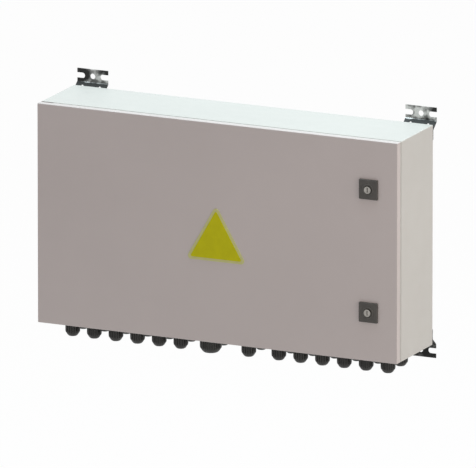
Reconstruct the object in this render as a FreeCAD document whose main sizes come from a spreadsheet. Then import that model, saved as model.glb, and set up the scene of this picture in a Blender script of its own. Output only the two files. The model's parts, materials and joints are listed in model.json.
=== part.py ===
import FreeCAD, Part
import math
import os
import Sketcher
from types import SimpleNamespace

# Solar combiner box: a wall-mounted sheet steel enclosure with a hinged door, two rows of cable
# glands underneath, and fuse holders, busbars, breaker and surge protector on a plate inside.
# Millimetres, +Z up, the door faces -Y. The origin is the centre of the wall fixing holes, on the
# wall. Depths are given as distances forward of the wall, so y is minus that distance.

SIZES = {
    # enclosure body
    "box_width": 700, "box_height": 400, "body_depth": 133, "shell_sheet": 1.5, "wall_gap": 17,
    "rim_width": 21.5, "lip_forward": 10, "fold_radius": 1.4,
    # door
    "door_gap": 5, "door_return": 12, "door_sheet": 1.5, "door_edge_radius": 1.2,
    "gasket_width": 14, "gasket_clearance": 0.2,
    # hinges
    "hinge_side_inset": 8.5, "hinge_front_inset": 5.5, "hinge_height": 40, "hinge_spacing": 260,
    "knuckle_radius": 3.6, "pin_radius": 1.8, "pin_clearance": 0.05, "knuckle_play": 0.3,
    "frame_knuckle": 20, "frame_leaf_sheet": 1.5, "door_leaf_sheet": 1, "notch_margin": 3,
    "pin_head_radius": 2.6, "pin_head_height": 1.2, "hinge_clearance": 0.6,
    # quarter-turn locks
    "lock_side_inset": 55, "lock_end_inset": 88.5, "lock_plate": 36, "lock_proud": 4,
    "lock_plate_edge": 1.6, "lock_sleeve_radius": 11, "lock_sleeve_length": 15,
    "lock_hole_clearance": 0.3, "lock_nut_flats": 27, "lock_nut_height": 4, "barrel_radius": 6.5,
    "barrel_clearance": 0.05, "barrel_proud": 3, "key_slot_width": 1.8, "key_slot_length": 8.5,
    "key_slot_depth": 3.5, "cam_width": 16, "cam_sheet": 3, "cam_overlap": 11, "cam_clearance": 0.4,
    "cam_corner_radius": 7, "cam_screw_radius": 4.5, "cam_screw_height": 3,
    # wall lugs
    "lug_width": 60, "lug_sheet": 2, "lug_flange_height": 25.4, "lug_beyond": 2.2,
    "lug_slot_height": 10, "lug_slot_length": 15, "lug_hole_radius": 5, "lug_bar_inset": 24.5,
    "lug_bar_height": 12, "lug_bar_radius": 4.5, "lug_relief_radius": 3.2,
    "lug_relief_spacing": 34, "lug_web_drop": 12, "lug_bolt_spacing": 40, "fixing_radius": 3,
    "fixing_clearance": 0.3, "fixing_head_flats": 10, "fixing_head_height": 4,
    "fixing_nut_height": 5, "fixing_end": 1.5,
    # gland plate and glands
    "gland_pitch": 42.4, "gland_first": 95.6, "gland_end_margin": 40, "gland_middle_offset": 37,
    "front_row_from_back": 95, "rear_row_from_back": 42, "rear_left_shift": 4.5,
    "cutout_end_margin": 20.4, "cutout_front_margin": 26, "cutout_rear_margin": 17,
    "plate_overlap": 8.5, "gland_plate_sheet": 2, "gland_gasket": 2, "gland_reach": 32,
    "plate_screw_radius": 2.5, "plate_screw_head": 4.5, "plate_screw_head_top": 3.2,
    "plate_screw_head_height": 2.6, "string_flats": 24, "string_hex": 9, "string_stem": 10,
    "string_stem_rise": 10, "string_bore": 6.5, "string_mouth": 6, "string_tip": 7,
    "string_seal_bore": 3.4, "string_nut_flats": 26, "string_nut": 5, "string_dome": 9.2,
    "output_flats": 37, "output_hex": 9, "output_stem": 16,
    "output_stem_rise": 11, "output_bore": 12, "output_mouth": 11, "output_tip": 12.5,
    "output_seal_bore": 8, "output_nut_flats": 40, "output_nut": 6, "output_dome": 11,
    "mouth_land": 5, "chamber_step": 2, "thread_clearance": 0.05, "seal_clearance": 0.1,
    # mounting plate and rails
    "plate_side_gap": 20, "plate_height": 330, "plate_rise": 10, "plate_stand_off": 10,
    "plate_sheet": 2, "stud_side_inset": 40, "stud_height": 300, "stud_shoulder": 6,
    "stud_hole_clearance": 0.4, "rail_height": 35, "rail_depth": 7.5, "rail_sheet": 1,
    "rail_crown": 25, "rail_clearance": 0.15, "rail_overhang": 5, "rail_slot_pitch": 36,
    "rail_slot_length": 15, "rail_slot_width": 5.5, "rail_hook": 1.5,
    # fuse holders, measured from the rail's front face and the rail's middle
    "bank_side_gap": 33, "holder_width": 36, "holder_gap": 0.4, "holder_level": -20,
    "bank_inner": 100, "holder_height": 78, "holder_back": 4, "terminal_depth": 26,
    "holder_nose": 52, "nose_depth": 40, "holder_chamfer": 1.5, "cheek": 1.5, "carrier_gap": 0.3,
    "pivot_depth": 36, "pivot_drop": 17, "pivot_boss": 8, "carrier_top": 38, "carrier_back": 17,
    "carrier_face": 8, "carrier_heel": 4, "pocket_gap": 0.4, "pocket_past_face": 6,
    "carrier_pin": 2, "carrier_pin_gap": 0.05, "grip_forward": 16, "grip_bottom": 23,
    "grip_step": 3, "grip_bevel": 1.5, "link_radius": 5.15, "link_length": 32, "link_level": 15,
    "link_depth": 10, "link_gap": 0.8, "trough_length": 29, "trough_inset": 1.2, "pole_pitch": 18,
    "entry_width": 9, "entry_height": 5, "entry_forward": 12, "entry_deep": 10, "screw_well": 3.2,
    "screw_well_deep": 9, "screw_well_level": 32.5,
    # busbars
    "bar_gap_above": 12, "bar_height": 30, "bar_thickness": 4, "bar_forward": 50, "finger_width": 8,
    "finger_into": 8, "riser_width": 18, "run_gap": 8, "drop_into": 9, "bar_end_margin": 8,
    "insulator_radius": 9, "insulator_neck": 7, "bar_screw_flats": 10, "bar_screw_height": 4,
    # main breaker
    "breaker_width": 105, "breaker_height": 165, "breaker_depth": 68, "breaker_centre": -37,
    "breaker_level": 20, "breaker_nose": 8, "breaker_nose_height": 72, "breaker_shoulder": 46,
    "breaker_end_step": 14, "breaker_end_slope": 4, "breaker_nose_slope": 3, "breaker_poles": 4,
    "breaker_barrier": 3.5, "breaker_well": 24, "breaker_well_back": 14, "handle_drum": 18,
    "handle_width": 24, "handle_gap": 0.4, "handle_lever": 9, "handle_lever_inset": 2,
    "handle_out": 17, "handle_drum_sunk": 14, "handle_rest_angle": 25,
    # surge protector, monitor, terminals and earth bar
    "surge_modules": 3, "surge_module": 18, "surge_height": 90, "surge_depth": 44, "device_gap": 5,
    "surge_shoulder_drop": 8, "surge_bevel": 4, "surge_jaw": 3, "surge_screw_well": 3,
    "surge_plug_bevel": 5, "surge_plug_lip": 1, "surge_floor": 12, "surge_slot_height": 46,
    "surge_plug_depth": 56, "surge_gap": 0.3, "monitor_width": 72, "monitor_height": 90,
    "monitor_depth": 53, "monitor_shoulder": 32, "monitor_nose": 45, "monitor_slope": 3,
    "monitor_wires": 7, "monitor_wire_pitch": 9, "monitor_entry_width": 5, "monitor_screw_well": 2,
    "terminal_count": 8, "terminal_level": -115, "terminal_width": 6.2, "terminal_height": 42,
    "terminal_depth_front": 38, "terminal_step": 8, "terminal_bevel": 4,
    "terminal_entry_width": 3.6, "terminal_screw_well": 1.6, "earth_bar_length": 120,
    "earth_bar_height": 15, "earth_bar_thickness": 5, "earth_bar_centre": -37,
    "earth_bar_level": -125, "earth_bar_foot": 12, "earth_bar_pitch": 12, "earth_bar_hole": 2.6,
}


class Size:
    """A size with its value and the sheet expression that gives it, so that both follow one formula."""

    def __init__(self, value, text):
        self.value = float(value)
        self.text = text

    def __float__(self):
        return self.value

    def __add__(self, other):
        return joined(self, "+", other, self.value + float(other))

    def __radd__(self, other):
        return joined(other, "+", self, float(other) + self.value)

    def __sub__(self, other):
        return joined(self, "-", other, self.value - float(other))

    def __rsub__(self, other):
        return joined(other, "-", self, float(other) - self.value)

    def __mul__(self, other):
        return joined(self, "*", other, self.value * float(other))

    def __rmul__(self, other):
        return joined(other, "*", self, float(other) * self.value)

    def __truediv__(self, other):
        return joined(self, "/", other, self.value / float(other))

    def __neg__(self):
        return joined(0, "-", self, -self.value)


def words(size):
    return size.text if isinstance(size, Size) else repr(float(size))


def joined(first, sign, second, value):
    return Size(value, f"({words(first)} {sign} {words(second)})")


def hypotenuse(first, second):
    value = math.hypot(float(first), float(second))
    return Size(value, f"sqrt({words(first * first)} + {words(second * second)})")


def whole(size):
    return int(float(size))


os.makedirs("parts", exist_ok=True)
doc = FreeCAD.newDocument("combiner_box")
sheet = doc.addObject("Spreadsheet::Sheet", "sizes")
for line, (alias, number) in enumerate(SIZES.items(), 1):
    sheet.set(f"A{line}", alias)
    sheet.set(f"B{line}", str(number))
    sheet.setAlias(f"B{line}", alias)
doc.recompute()
S = SimpleNamespace(**{alias: Size(sheet.get(alias), f"sizes.{alias}") for alias in SIZES})
nodes = []
cuts = []


# Sketches and features

def new_body(label, x=0, y=0, z=0):
    """A body whose own origin stands at x, y, z."""
    body = doc.addObject("PartDesign::Body", label)
    body.Label = label
    for axis, place in zip("xyz", (x, y, z)):
        body.setExpression(f"Placement.Base.{axis}", words(place))
    return body


def new_sketch(body, role, offset=0):
    """A sketch on one of the body's origin planes, moved along the plane's normal by offset."""
    sketch = body.newObject("Sketcher::SketchObject", body.Name + "_sketch")
    plane = next(f for f in body.Origin.OriginFeatures if f.Role == role)
    sketch.AttachmentSupport = (plane, [""])
    sketch.MapMode = "FlatFace"
    sketch.setExpression("AttachmentOffset.Base.z", words(offset))
    return sketch


def fix(sketch, geometry, point, across, up):
    """Ties a point of the sketch to its distances from the sketch's origin."""
    for kind, size in (("DistanceX", across), ("DistanceY", up)):
        if size is not None:
            constraint = Sketcher.Constraint(kind, -1, 1, geometry, point, float(size))
            number = sketch.addConstraint(constraint)
            sketch.setExpression(f"Constraints[{number}]", words(size))


def dome_arc(start, end):
    """The arc from start up to end that runs into a wall going straight up from end."""
    across, rise = end.x - start.x, end.y - start.y
    radius = (across ** 2 + rise ** 2) / (2 * across)
    ring = Part.Circle(FreeCAD.Vector(end.x - radius, end.y, 0), FreeCAD.Vector(0, 0, 1), radius)
    return Part.ArcOfCircle(ring, math.atan2(-rise, radius - across), 0)


def outline(sketch, corners, dome=None):
    """A closed outline through corners, each (across, up); one of its straight edges may be a dome."""
    first = sketch.GeometryCount
    count = len(corners)
    for i, corner in enumerate(corners):
        follow = corners[(i + 1) % count]
        start = FreeCAD.Vector(float(corner[0]), float(corner[1]), 0)
        end = FreeCAD.Vector(float(follow[0]), float(follow[1]), 0)
        sketch.addGeometry(dome_arc(start, end) if i == dome else Part.LineSegment(start, end), False)
    for i in range(count):
        follow = first + (i + 1) % count
        sketch.addConstraint(Sketcher.Constraint("Coincident", first + i, 2, follow, 1))
    if dome is not None:
        sketch.addConstraint(Sketcher.Constraint("Horizontal", first + dome, 3, first + dome, 2))
    for i, corner in enumerate(corners):
        fix(sketch, first + i, 1, *corner)


def rectangle(sketch, left, right, low, high):
    outline(sketch, [(left, low), (right, low), (right, high), (left, high)])


def circle(sketch, across, up, radius):
    centre = FreeCAD.Vector(float(across), float(up), 0)
    normal = FreeCAD.Vector(0, 0, 1)
    number = sketch.addGeometry(Part.Circle(centre, normal, float(radius)), False)
    fix(sketch, number, 3, across, up)
    size = sketch.addConstraint(Sketcher.Constraint("Radius", number, float(radius)))
    sketch.setExpression(f"Constraints[{size}]", words(radius))


def polygon(sketch, across, up, flats, sides=6):
    """A regular polygon, flats apart from side to side, with a corner on the across axis."""
    radius = flats / (2 * math.cos(math.pi / sides))
    turns = [2 * math.pi * k / sides for k in range(sides)]
    corners = [(across + radius * math.cos(a), up + radius * math.sin(a)) for a in turns]
    outline(sketch, corners)


def round_slot(sketch, across, up, length, width):
    """A slot with round ends, its length along the across axis."""
    half = (length - width) / 2
    radius = width / 2
    left, right = across - half, across + half
    centres = [FreeCAD.Vector(float(c), float(up), 0) for c in (right, left)]
    normal = FreeCAD.Vector(0, 0, 1)
    arcs = []
    for centre, start in zip(centres, (-math.pi / 2, math.pi / 2)):
        ring = Part.Circle(centre, normal, float(radius))
        arcs.append(sketch.addGeometry(Part.ArcOfCircle(ring, start, start + math.pi), False))
    rise = FreeCAD.Vector(0, float(radius), 0)
    top = sketch.addGeometry(Part.LineSegment(centres[0] + rise, centres[1] + rise), False)
    base = sketch.addGeometry(Part.LineSegment(centres[1] - rise, centres[0] - rise), False)
    joints = [(arcs[0], 2, top, 1), (top, 2, arcs[1], 1), (arcs[1], 2, base, 1), (base, 2, arcs[0], 1)]
    for one, end, other, begin in joints:
        sketch.addConstraint(Sketcher.Constraint("Tangent", one, end, other, begin))
    fix(sketch, arcs[0], 3, right, up)
    fix(sketch, arcs[1], 3, left, None)
    size = sketch.addConstraint(Sketcher.Constraint("Radius", arcs[0], float(radius)))
    sketch.setExpression(f"Constraints[{size}]", words(radius))


def swing_outline(sketch, corners, arcs):
    """An outline about a pivot at the sketch's origin. An edge in arcs, {edge: (radius, turn)}, is an arc
    about the pivot, turning left if turn is 1 and right if it is -1. A corner's None is found from it."""
    count = len(corners)
    places = []
    for i, (across, up, *sign) in enumerate(corners):
        if across is None or up is None:
            radius = float((arcs.get(i) or arcs[(i - 1) % count])[0])
            known = float(across if up is None else up)
            other = sign[0] * math.sqrt(radius ** 2 - known ** 2)
            places.append((known, other) if up is None else (other, known))
        else:
            places.append((float(across), float(up)))
    for i in range(count):
        start = FreeCAD.Vector(*places[i], 0)
        end = FreeCAD.Vector(*places[(i + 1) % count], 0)
        if i in arcs:
            radius, turn = arcs[i]
            ring = Part.Circle(FreeCAD.Vector(0, 0, 0), FreeCAD.Vector(0, 0, 1), float(radius))
            ends = (start, end) if turn > 0 else (end, start)
            angles = [math.atan2(v.y, v.x) for v in ends]
            if angles[1] < angles[0]:
                angles[1] += 2 * math.pi
            sketch.addGeometry(Part.ArcOfCircle(ring, *angles), False)
        else:
            sketch.addGeometry(Part.LineSegment(start, end), False)
    begins = [2 if i in arcs and arcs[i][1] < 0 else 1 for i in range(count)]
    for i in range(count):
        follow = (i + 1) % count
        joint = Sketcher.Constraint("Coincident", i, 3 - begins[i], follow, begins[follow])
        sketch.addConstraint(joint)
    for i, (radius, _) in arcs.items():
        sketch.addConstraint(Sketcher.Constraint("Coincident", i, 3, -1, 1))
        size = sketch.addConstraint(Sketcher.Constraint("Radius", i, float(radius)))
        sketch.setExpression(f"Constraints[{size}]", words(radius))
    for i, corner in enumerate(corners):
        fix(sketch, i, begins[i], corner[0], corner[1])


def pad(body, sketch, length, backwards=False, both_ways=False):
    feature = body.newObject("PartDesign::Pad", body.Name + "_pad")
    feature.Profile = sketch
    feature.setExpression("Length", words(length))
    feature.Reversed = backwards
    feature.Midplane = both_ways
    return feature


def pocket(body, sketch, length, forwards=False, both_ways=False):
    """Cuts against the sketch plane's normal, or along it if forwards."""
    feature = body.newObject("PartDesign::Pocket", body.Name + "_pocket")
    feature.Profile = sketch
    feature.setExpression("Length", words(length))
    feature.Reversed = forwards
    feature.Midplane = both_ways
    cuts.append(feature)
    return feature


def turned(body, role, profile, dome=None):
    """A solid of revolution about the up axis of the plane: profile is (radius, up) corners."""
    sketch = new_sketch(body, role)
    outline(sketch, profile, dome)
    feature = body.newObject("PartDesign::Revolution", body.Name + "_turned")
    feature.Profile = sketch
    feature.ReferenceAxis = (sketch, ["V_Axis"])
    feature.Angle = 360
    return feature


def rounded(body, radius, wanted):
    """Fillets the edges for which wanted(edge) is true."""
    doc.recompute()
    base = body.Tip
    names = [f"Edge{i}" for i, edge in enumerate(base.Shape.Edges, 1) if wanted(edge)]
    feature = body.newObject("PartDesign::Fillet", body.Name + "_fillet")
    feature.Base = (base, names)
    feature.setExpression("Radius", words(radius))
    return feature


def row_of(body, feature, pitch, count):
    """Repeats a feature along X."""
    pattern = body.newObject("PartDesign::LinearPattern", body.Name + "_row")
    pattern.Originals = [feature]
    axis = next(f for f in body.Origin.OriginFeatures if f.Role == "X_Axis")
    pattern.Direction = (axis, [""])
    pattern.setExpression("Length", words(pitch * (count - 1)))
    pattern.Occurrences = count
    body.Tip = pattern
    return pattern


def node(thing):
    """Marks an object as a sub-part to be written."""
    nodes.append(thing)
    return thing


def group(label, pattern, places, turns=None):
    """One sub-part of separate solids: copies of a body at places, each (x, y, z)."""
    doc.recompute()
    copies = []
    for i, place in enumerate(places):
        turn = turns[i] if turns else FreeCAD.Rotation()
        at = FreeCAD.Placement(FreeCAD.Vector(*[float(p) for p in place]), turn)
        copy = pattern.Shape.copy()
        copy.Placement = at
        copies.append(copy)
    thing = doc.addObject("Part::Feature", label)
    thing.Label = label
    thing.Shape = Part.makeCompound(copies)
    return node(thing)


def along_y(edge):
    return straight(edge) and abs(edge.tangentAt(edge.FirstParameter).y) > 0.99


def along_x(edge):
    return straight(edge) and abs(edge.tangentAt(edge.FirstParameter).x) > 0.99


def straight(edge):
    return edge.Curve.TypeId == "Part::GeomLine"


def near(value, target):
    return abs(value - float(target)) < 0.01


# Levels and depths that several pieces share

half_width = S.box_width / 2
half_height = S.box_height / 2
back = S.wall_gap
back_inner = back + S.shell_sheet
rim = back + S.body_depth
rim_inner = rim - S.shell_sheet
lip = rim + S.lip_forward
door_rear = rim + S.door_gap
door_front = door_rear + S.door_return
door_inner = door_front - S.door_sheet
opening_inset = S.rim_width + S.shell_sheet
hinge_x = -half_width + S.hinge_side_inset
hinge_forward = door_front - S.hinge_front_inset
hinge_levels = (S.hinge_spacing / 2, -S.hinge_spacing / 2)
lock_x = half_width - S.lock_side_inset
lock_levels = {"upper": half_height - S.lock_end_inset, "lower": S.lock_end_inset - half_height}
plate_back = back_inner + S.plate_stand_off
plate_front = plate_back + S.plate_sheet
rail_front = plate_front + S.rail_depth
stud_x = half_width - S.stud_side_inset
stud_levels = (S.plate_rise + S.stud_height / 2, S.plate_rise - S.stud_height / 2)
lug_x = half_width - S.lug_width / 2
lug_bar_level = half_height - S.lug_bar_inset
lug_bolt_x = (lug_x - S.lug_bolt_spacing / 2, lug_x + S.lug_bolt_spacing / 2)
front_row = back + S.front_row_from_back
rear_row = back + S.rear_row_from_back
cutout_front = front_row + S.cutout_front_margin
cutout_rear = rear_row - S.cutout_rear_margin
glands_a_side = 1 + whole((half_width - S.gland_end_margin - S.gland_first) / S.gland_pitch)
cutout_half = S.gland_first + S.gland_pitch * (glands_a_side - 1) + S.cutout_end_margin
gland_level = -half_height + S.shell_sheet + S.gland_gasket
device_centre = (S.breaker_centre + S.breaker_width / 2 + S.bank_inner - S.bar_end_margin) / 2
drum_depth = S.breaker_depth + S.breaker_nose - S.handle_drum_sunk
holders_a_side = whole((half_width - S.bank_side_gap - S.bank_inner) / S.holder_width)
bank_outer = S.bank_inner + S.holder_width * holders_a_side
bank_centres = [S.bank_inner + S.holder_width * (k + 0.5) for k in range(holders_a_side)]
fuse_poles = (-S.pole_pitch / 2, S.pole_pitch / 2)
surge_width = S.surge_module * S.surge_modules
monitor_level = S.holder_level + S.surge_height / 2 + S.device_gap + S.monitor_height / 2
run_level = monitor_level + S.monitor_height / 2 + S.run_gap


# Enclosure body

def enclosure_shell():
    """Folded steel box, open in front, with a rim and a rain lip round the door opening."""
    body = new_body("enclosure_shell")
    outside = new_sketch(body, "XZ_Plane", back)
    rectangle(outside, -half_width, half_width, -half_height, half_height)
    pad(body, outside, S.body_depth)
    rounded(body, S.fold_radius, along_y)
    inside = new_sketch(body, "XZ_Plane", rim)
    reach_x = half_width - S.shell_sheet
    reach_z = half_height - S.shell_sheet
    rectangle(inside, -reach_x, reach_x, -reach_z, reach_z)
    pocket(body, inside, S.body_depth - S.shell_sheet)
    hole_x = half_width - opening_inset
    hole_z = half_height - opening_inset
    front_rim = new_sketch(body, "XZ_Plane", rim_inner)
    rectangle(front_rim, -reach_x, reach_x, -reach_z, reach_z)
    rectangle(front_rim, -hole_x, hole_x, -hole_z, hole_z)
    pad(body, front_rim, S.shell_sheet)
    rain_lip = new_sketch(body, "XZ_Plane", rim)
    lip_x = half_width - S.rim_width
    lip_z = half_height - S.rim_width
    rectangle(rain_lip, -lip_x, lip_x, -lip_z, lip_z)
    rectangle(rain_lip, -hole_x, hole_x, -hole_z, hole_z)
    pad(body, rain_lip, S.lip_forward)
    cutout = new_sketch(body, "XY_Plane", -half_height)
    rectangle(cutout, -cutout_half, cutout_half, -cutout_front, -cutout_rear)
    pocket(body, cutout, S.shell_sheet, forwards=True)
    shoulders = new_sketch(body, "XZ_Plane", back_inner)
    studs = new_sketch(body, "XZ_Plane", plate_back)
    for x in (-stud_x, stud_x):
        for z in stud_levels:
            circle(shoulders, x, z, S.stud_shoulder)
            circle(studs, x, z, S.fixing_radius)
    pad(body, shoulders, S.plate_stand_off)
    pad(body, studs, S.plate_sheet + S.fixing_nut_height + S.fixing_end)
    bolt_holes = new_sketch(body, "XZ_Plane", back_inner)
    for x in lug_bolt_x:
        for z in (lug_bar_level, -lug_bar_level):
            circle(bolt_holes, x, z, S.fixing_radius + S.fixing_clearance)
            circle(bolt_holes, -x, z, S.fixing_radius + S.fixing_clearance)
    pocket(body, bolt_holes, S.shell_sheet)
    node(body)


def gland_opening(name, thickness, level, hollow):
    """A flat piece over the cut-out in the floor: a solid plate, or a frame where it is hollow."""
    body = new_body(name)
    sketch = new_sketch(body, "XY_Plane", level)
    reach = cutout_half + S.plate_overlap
    rectangle(sketch, -reach, reach, -cutout_front - S.plate_overlap, -cutout_rear + S.plate_overlap)
    if hollow:
        rectangle(sketch, -cutout_half, cutout_half, -cutout_front, -cutout_rear)
    pad(body, sketch, thickness)
    return body


def string_places():
    """(x, forward) of each small gland: a row on each side, and one in the middle in front, two behind."""
    steps = [S.gland_first + S.gland_pitch * k for k in range(glands_a_side)]
    front = [-x for x in reversed(steps)] + [S.gland_middle_offset] + steps
    middle = [-S.gland_middle_offset, S.gland_middle_offset]
    rear = [-x - S.rear_left_shift for x in reversed(steps)] + middle + steps
    return [(x, front_row) for x in front] + [(x, rear_row) for x in rear]


def output_place():
    return -S.gland_middle_offset, front_row


def plate_screw_places():
    """(x, forward) of the screws round the gland plate's edge, in the middle of its overlap."""
    edge = S.plate_overlap / 2
    step = (cutout_half + edge) / 2
    rows = [(step * k, f) for k in (-2, -1, 0, 1, 2) for f in (cutout_rear - edge, cutout_front + edge)]
    middle = (cutout_rear + cutout_front) / 2
    return rows + [(-(cutout_half + edge), middle), (cutout_half + edge, middle)]


def gland_plate():
    """Removable floor plate with a round hole for each gland, screwed down over a gasket."""
    body = gland_opening("gland_plate", S.gland_plate_sheet, gland_level, hollow=False)
    holes = new_sketch(body, "XY_Plane", gland_level)
    for x, forward in string_places():
        circle(holes, x, -forward, S.string_stem + S.fixing_clearance)
    x, forward = output_place()
    circle(holes, x, -forward, S.output_stem + S.fixing_clearance)
    for x, forward in plate_screw_places():
        circle(holes, x, -forward, S.plate_screw_radius + S.fixing_clearance)
    pocket(body, holes, S.gland_plate_sheet, forwards=True)
    node(body)
    gasket = gland_opening("gland_plate_gasket", S.gland_gasket, gland_level - S.gland_gasket, hollow=True)
    holes = new_sketch(gasket, "XY_Plane", gland_level - S.gland_gasket)
    for x, forward in plate_screw_places():
        circle(holes, x, -forward, S.plate_screw_radius + S.fixing_clearance)
    pocket(gasket, holes, S.gland_gasket, forwards=True)
    node(gasket)


def gland_plate_screws():
    """Pan head screws that stand in tapped bushes of the floor's edge."""
    body = new_body("plate_screw_pattern")
    top = S.plate_screw_head_height
    end = -S.gland_plate_sheet - S.gland_gasket
    turned(body, "XZ_Plane", [
        (0, end), (S.plate_screw_radius, end), (S.plate_screw_radius, 0), (S.plate_screw_head, 0),
        (S.plate_screw_head_top, top), (0, top),
    ])
    level = gland_level + S.gland_plate_sheet
    group("gland_plate_screws", body, [(x, -f, level) for x, f in plate_screw_places()])


def gland(kind, places):
    """The four pieces of a gland size, with z = 0 on the underside of the gland plate."""
    flats, hexagon = getattr(S, kind + "_flats"), getattr(S, kind + "_hex")
    stem, rise = getattr(S, kind + "_stem"), getattr(S, kind + "_stem_rise")
    bore, mouth, tip = (getattr(S, f"{kind}_{part}") for part in ("bore", "mouth", "tip"))
    nut_flats, nut = getattr(S, kind + "_nut_flats"), getattr(S, kind + "_nut")
    end = -half_height - S.gland_reach - gland_level
    dome = end + getattr(S, kind + "_dome")
    at = [(x, -forward, gland_level) for x, forward in places]
    body = new_body(kind + "_body_pattern")
    collar = new_sketch(body, "XY_Plane", -hexagon)
    polygon(collar, 0, 0, flats)
    pad(body, collar, hexagon)
    thread = new_sketch(body, "XY_Plane", 0)
    circle(thread, 0, 0, stem)
    pad(body, thread, S.gland_plate_sheet + rise)
    passage = new_sketch(body, "XY_Plane", -hexagon)
    circle(passage, 0, 0, bore)
    pocket(body, passage, hexagon + S.gland_plate_sheet + rise, forwards=True)
    plural = "bodies" if len(places) > 1 else "body"
    group(f"{kind}_gland_{plural}", body, at)
    cap = new_body(kind + "_cap_pattern")
    land = end + S.mouth_land
    chamber = bore + S.chamber_step
    turned(cap, "XZ_Plane", [
        (mouth, end), (tip, end), (flats / 2, dome), (flats / 2, -hexagon), (chamber, -hexagon),
        (chamber, land), (mouth, land),
    ], dome=1)
    group(f"{kind}_gland_cap" + ("s" if len(places) > 1 else ""), cap, at)
    seal = new_body(kind + "_seal_pattern")
    inner, outer = getattr(S, kind + "_seal_bore"), chamber - S.seal_clearance
    turned(seal, "XZ_Plane", [(inner, land), (outer, land), (outer, -hexagon), (inner, -hexagon)])
    group(f"{kind}_gland_seal" + ("s" if len(places) > 1 else ""), seal, at)
    locknut = new_body(kind + "_locknut_pattern")
    ring = new_sketch(locknut, "XY_Plane", S.gland_plate_sheet)
    polygon(ring, 0, 0, nut_flats)
    circle(ring, 0, 0, stem + S.thread_clearance)
    pad(locknut, ring, nut)
    group(f"{kind}_gland_locknut" + ("s" if len(places) > 1 else ""), locknut, at)


# Wall lugs and fixings

def mounting_lugs():
    """Cranked plated lugs: a slotted flange on the wall, a web, and a round-ended bar on the back panel."""
    low = half_height + S.lug_beyond
    high = low + S.lug_flange_height
    middle = low + S.lug_flange_height / 2
    web_foot = low - S.lug_web_drop
    bar_low = lug_bar_level - S.lug_bar_height / 2
    bend = S.lug_sheet
    sides = {"left": -1, "right": 1}
    for level, up in (("upper", 1), ("lower", -1)):
        for side, right in sides.items():
            body = new_body(f"mounting_lug_{level}_{side}", lug_x * right)
            profile = new_sketch(body, "YZ_Plane", 0)
            corners = [
                (0, high), (0, low), (-back + bend, web_foot), (-back + bend, bar_low),
                (-back, bar_low), (-back, web_foot + bend), (-bend, low + bend), (-bend, high),
            ]
            outline(profile, [(across, height * up) for across, height in corners])
            pad(body, profile, S.lug_width, both_ways=True)
            rounded(body, S.lug_sheet, lambda edge: along_x(edge) and any(
                near(abs(edge.Vertexes[0].Z), z) and near(edge.Vertexes[0].Y, y)
                for y, z in ((0, low), (-back + bend, web_foot))))
            waist = new_sketch(body, "XZ_Plane", 0)
            half = S.lug_width / 2
            bar_high = lug_bar_level + S.lug_bar_height / 2
            for sign in (-1, 1):
                slot_centre = half + (S.lug_slot_height - S.lug_slot_length) / 2
                slot = S.lug_slot_length + S.lug_slot_height
                round_slot(waist, slot_centre * sign, middle * up, slot, S.lug_slot_height)
                circle(waist, S.lug_relief_spacing / 2 * sign, (web_foot + low) / 2 * up, S.lug_relief_radius)
                circle(waist, S.lug_bolt_spacing / 2 * sign, lug_bar_level * up,
                       S.fixing_radius + S.fixing_clearance)
            circle(waist, 0, middle * up, S.lug_hole_radius)
            pocket(body, waist, back, forwards=True)
            rounded(body, S.lug_bar_radius, lambda edge: along_y(edge)
                    and near(abs(edge.Vertexes[0].X), half)
                    and any(near(abs(edge.Vertexes[0].Z), z) for z in (bar_low, bar_high)))
            node(body)


def fixing_places():
    """(x, z) of the bolts that hold the lugs to the back panel."""
    levels = (lug_bar_level, -lug_bar_level)
    return [(x * side, level) for side in (-1, 1) for x in lug_bolt_x for level in levels]


def lug_bolts():
    """Hexagon bolts from behind, through lug and back panel."""
    body = new_body("fixing_bolt_pattern")
    head = new_sketch(body, "XZ_Plane", -S.fixing_head_height)
    polygon(head, 0, 0, S.fixing_head_flats)
    pad(body, head, S.fixing_head_height)
    shank = new_sketch(body, "XZ_Plane", 0)
    circle(shank, 0, 0, S.fixing_radius)
    pad(body, shank, S.lug_sheet + S.shell_sheet + S.fixing_nut_height + S.fixing_end)
    group("lug_bolts", body, [(x, -back + S.lug_sheet, z) for x, z in fixing_places()])


def hexagon_nuts():
    """The nuts of the lug bolts, on the inside, and those of the mounting plate's studs."""
    body = new_body("fixing_nut_pattern")
    ring = new_sketch(body, "XZ_Plane", 0)
    polygon(ring, 0, 0, S.fixing_head_flats)
    circle(ring, 0, 0, S.fixing_radius + S.thread_clearance)
    pad(body, ring, S.fixing_nut_height)
    lugs = [(x, -back_inner, z) for x, z in fixing_places()]
    studs = [(x, -plate_front, z) for x in (-stud_x, stud_x) for z in stud_levels]
    group("fixing_nuts", body, lugs + studs)


# Door, hinges and locks

def door_panel():
    """Folded pan with returns on four sides, notched for the hinges and pierced for the locks."""
    body = new_body("door_panel")
    outside = new_sketch(body, "XZ_Plane", door_rear)
    rectangle(outside, -half_width, half_width, -half_height, half_height)
    pad(body, outside, S.door_return)
    rounded(body, S.door_edge_radius, lambda edge: along_y(edge) or (
        straight(edge) and near(edge.Vertexes[0].Y, -door_front) and near(edge.Vertexes[1].Y, -door_front)))
    inside = new_sketch(body, "XZ_Plane", door_rear)
    reach_x = half_width - S.door_sheet
    reach_z = half_height - S.door_sheet
    rectangle(inside, -reach_x, reach_x, -reach_z, reach_z)
    pocket(body, inside, S.door_return - S.door_sheet, forwards=True)
    notches = new_sketch(body, "YZ_Plane", -half_width)
    half_notch = S.frame_knuckle / 2 + S.notch_margin
    for level in hinge_levels:
        rectangle(notches, -door_inner, -door_rear, level - half_notch, level + half_notch)
    pocket(body, notches, S.door_sheet, forwards=True)
    lock_holes = new_sketch(body, "XZ_Plane", door_front)
    for level in lock_levels.values():
        circle(lock_holes, lock_x, level, S.lock_sleeve_radius + S.lock_hole_clearance)
    pocket(body, lock_holes, S.door_sheet)
    node(body)


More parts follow.
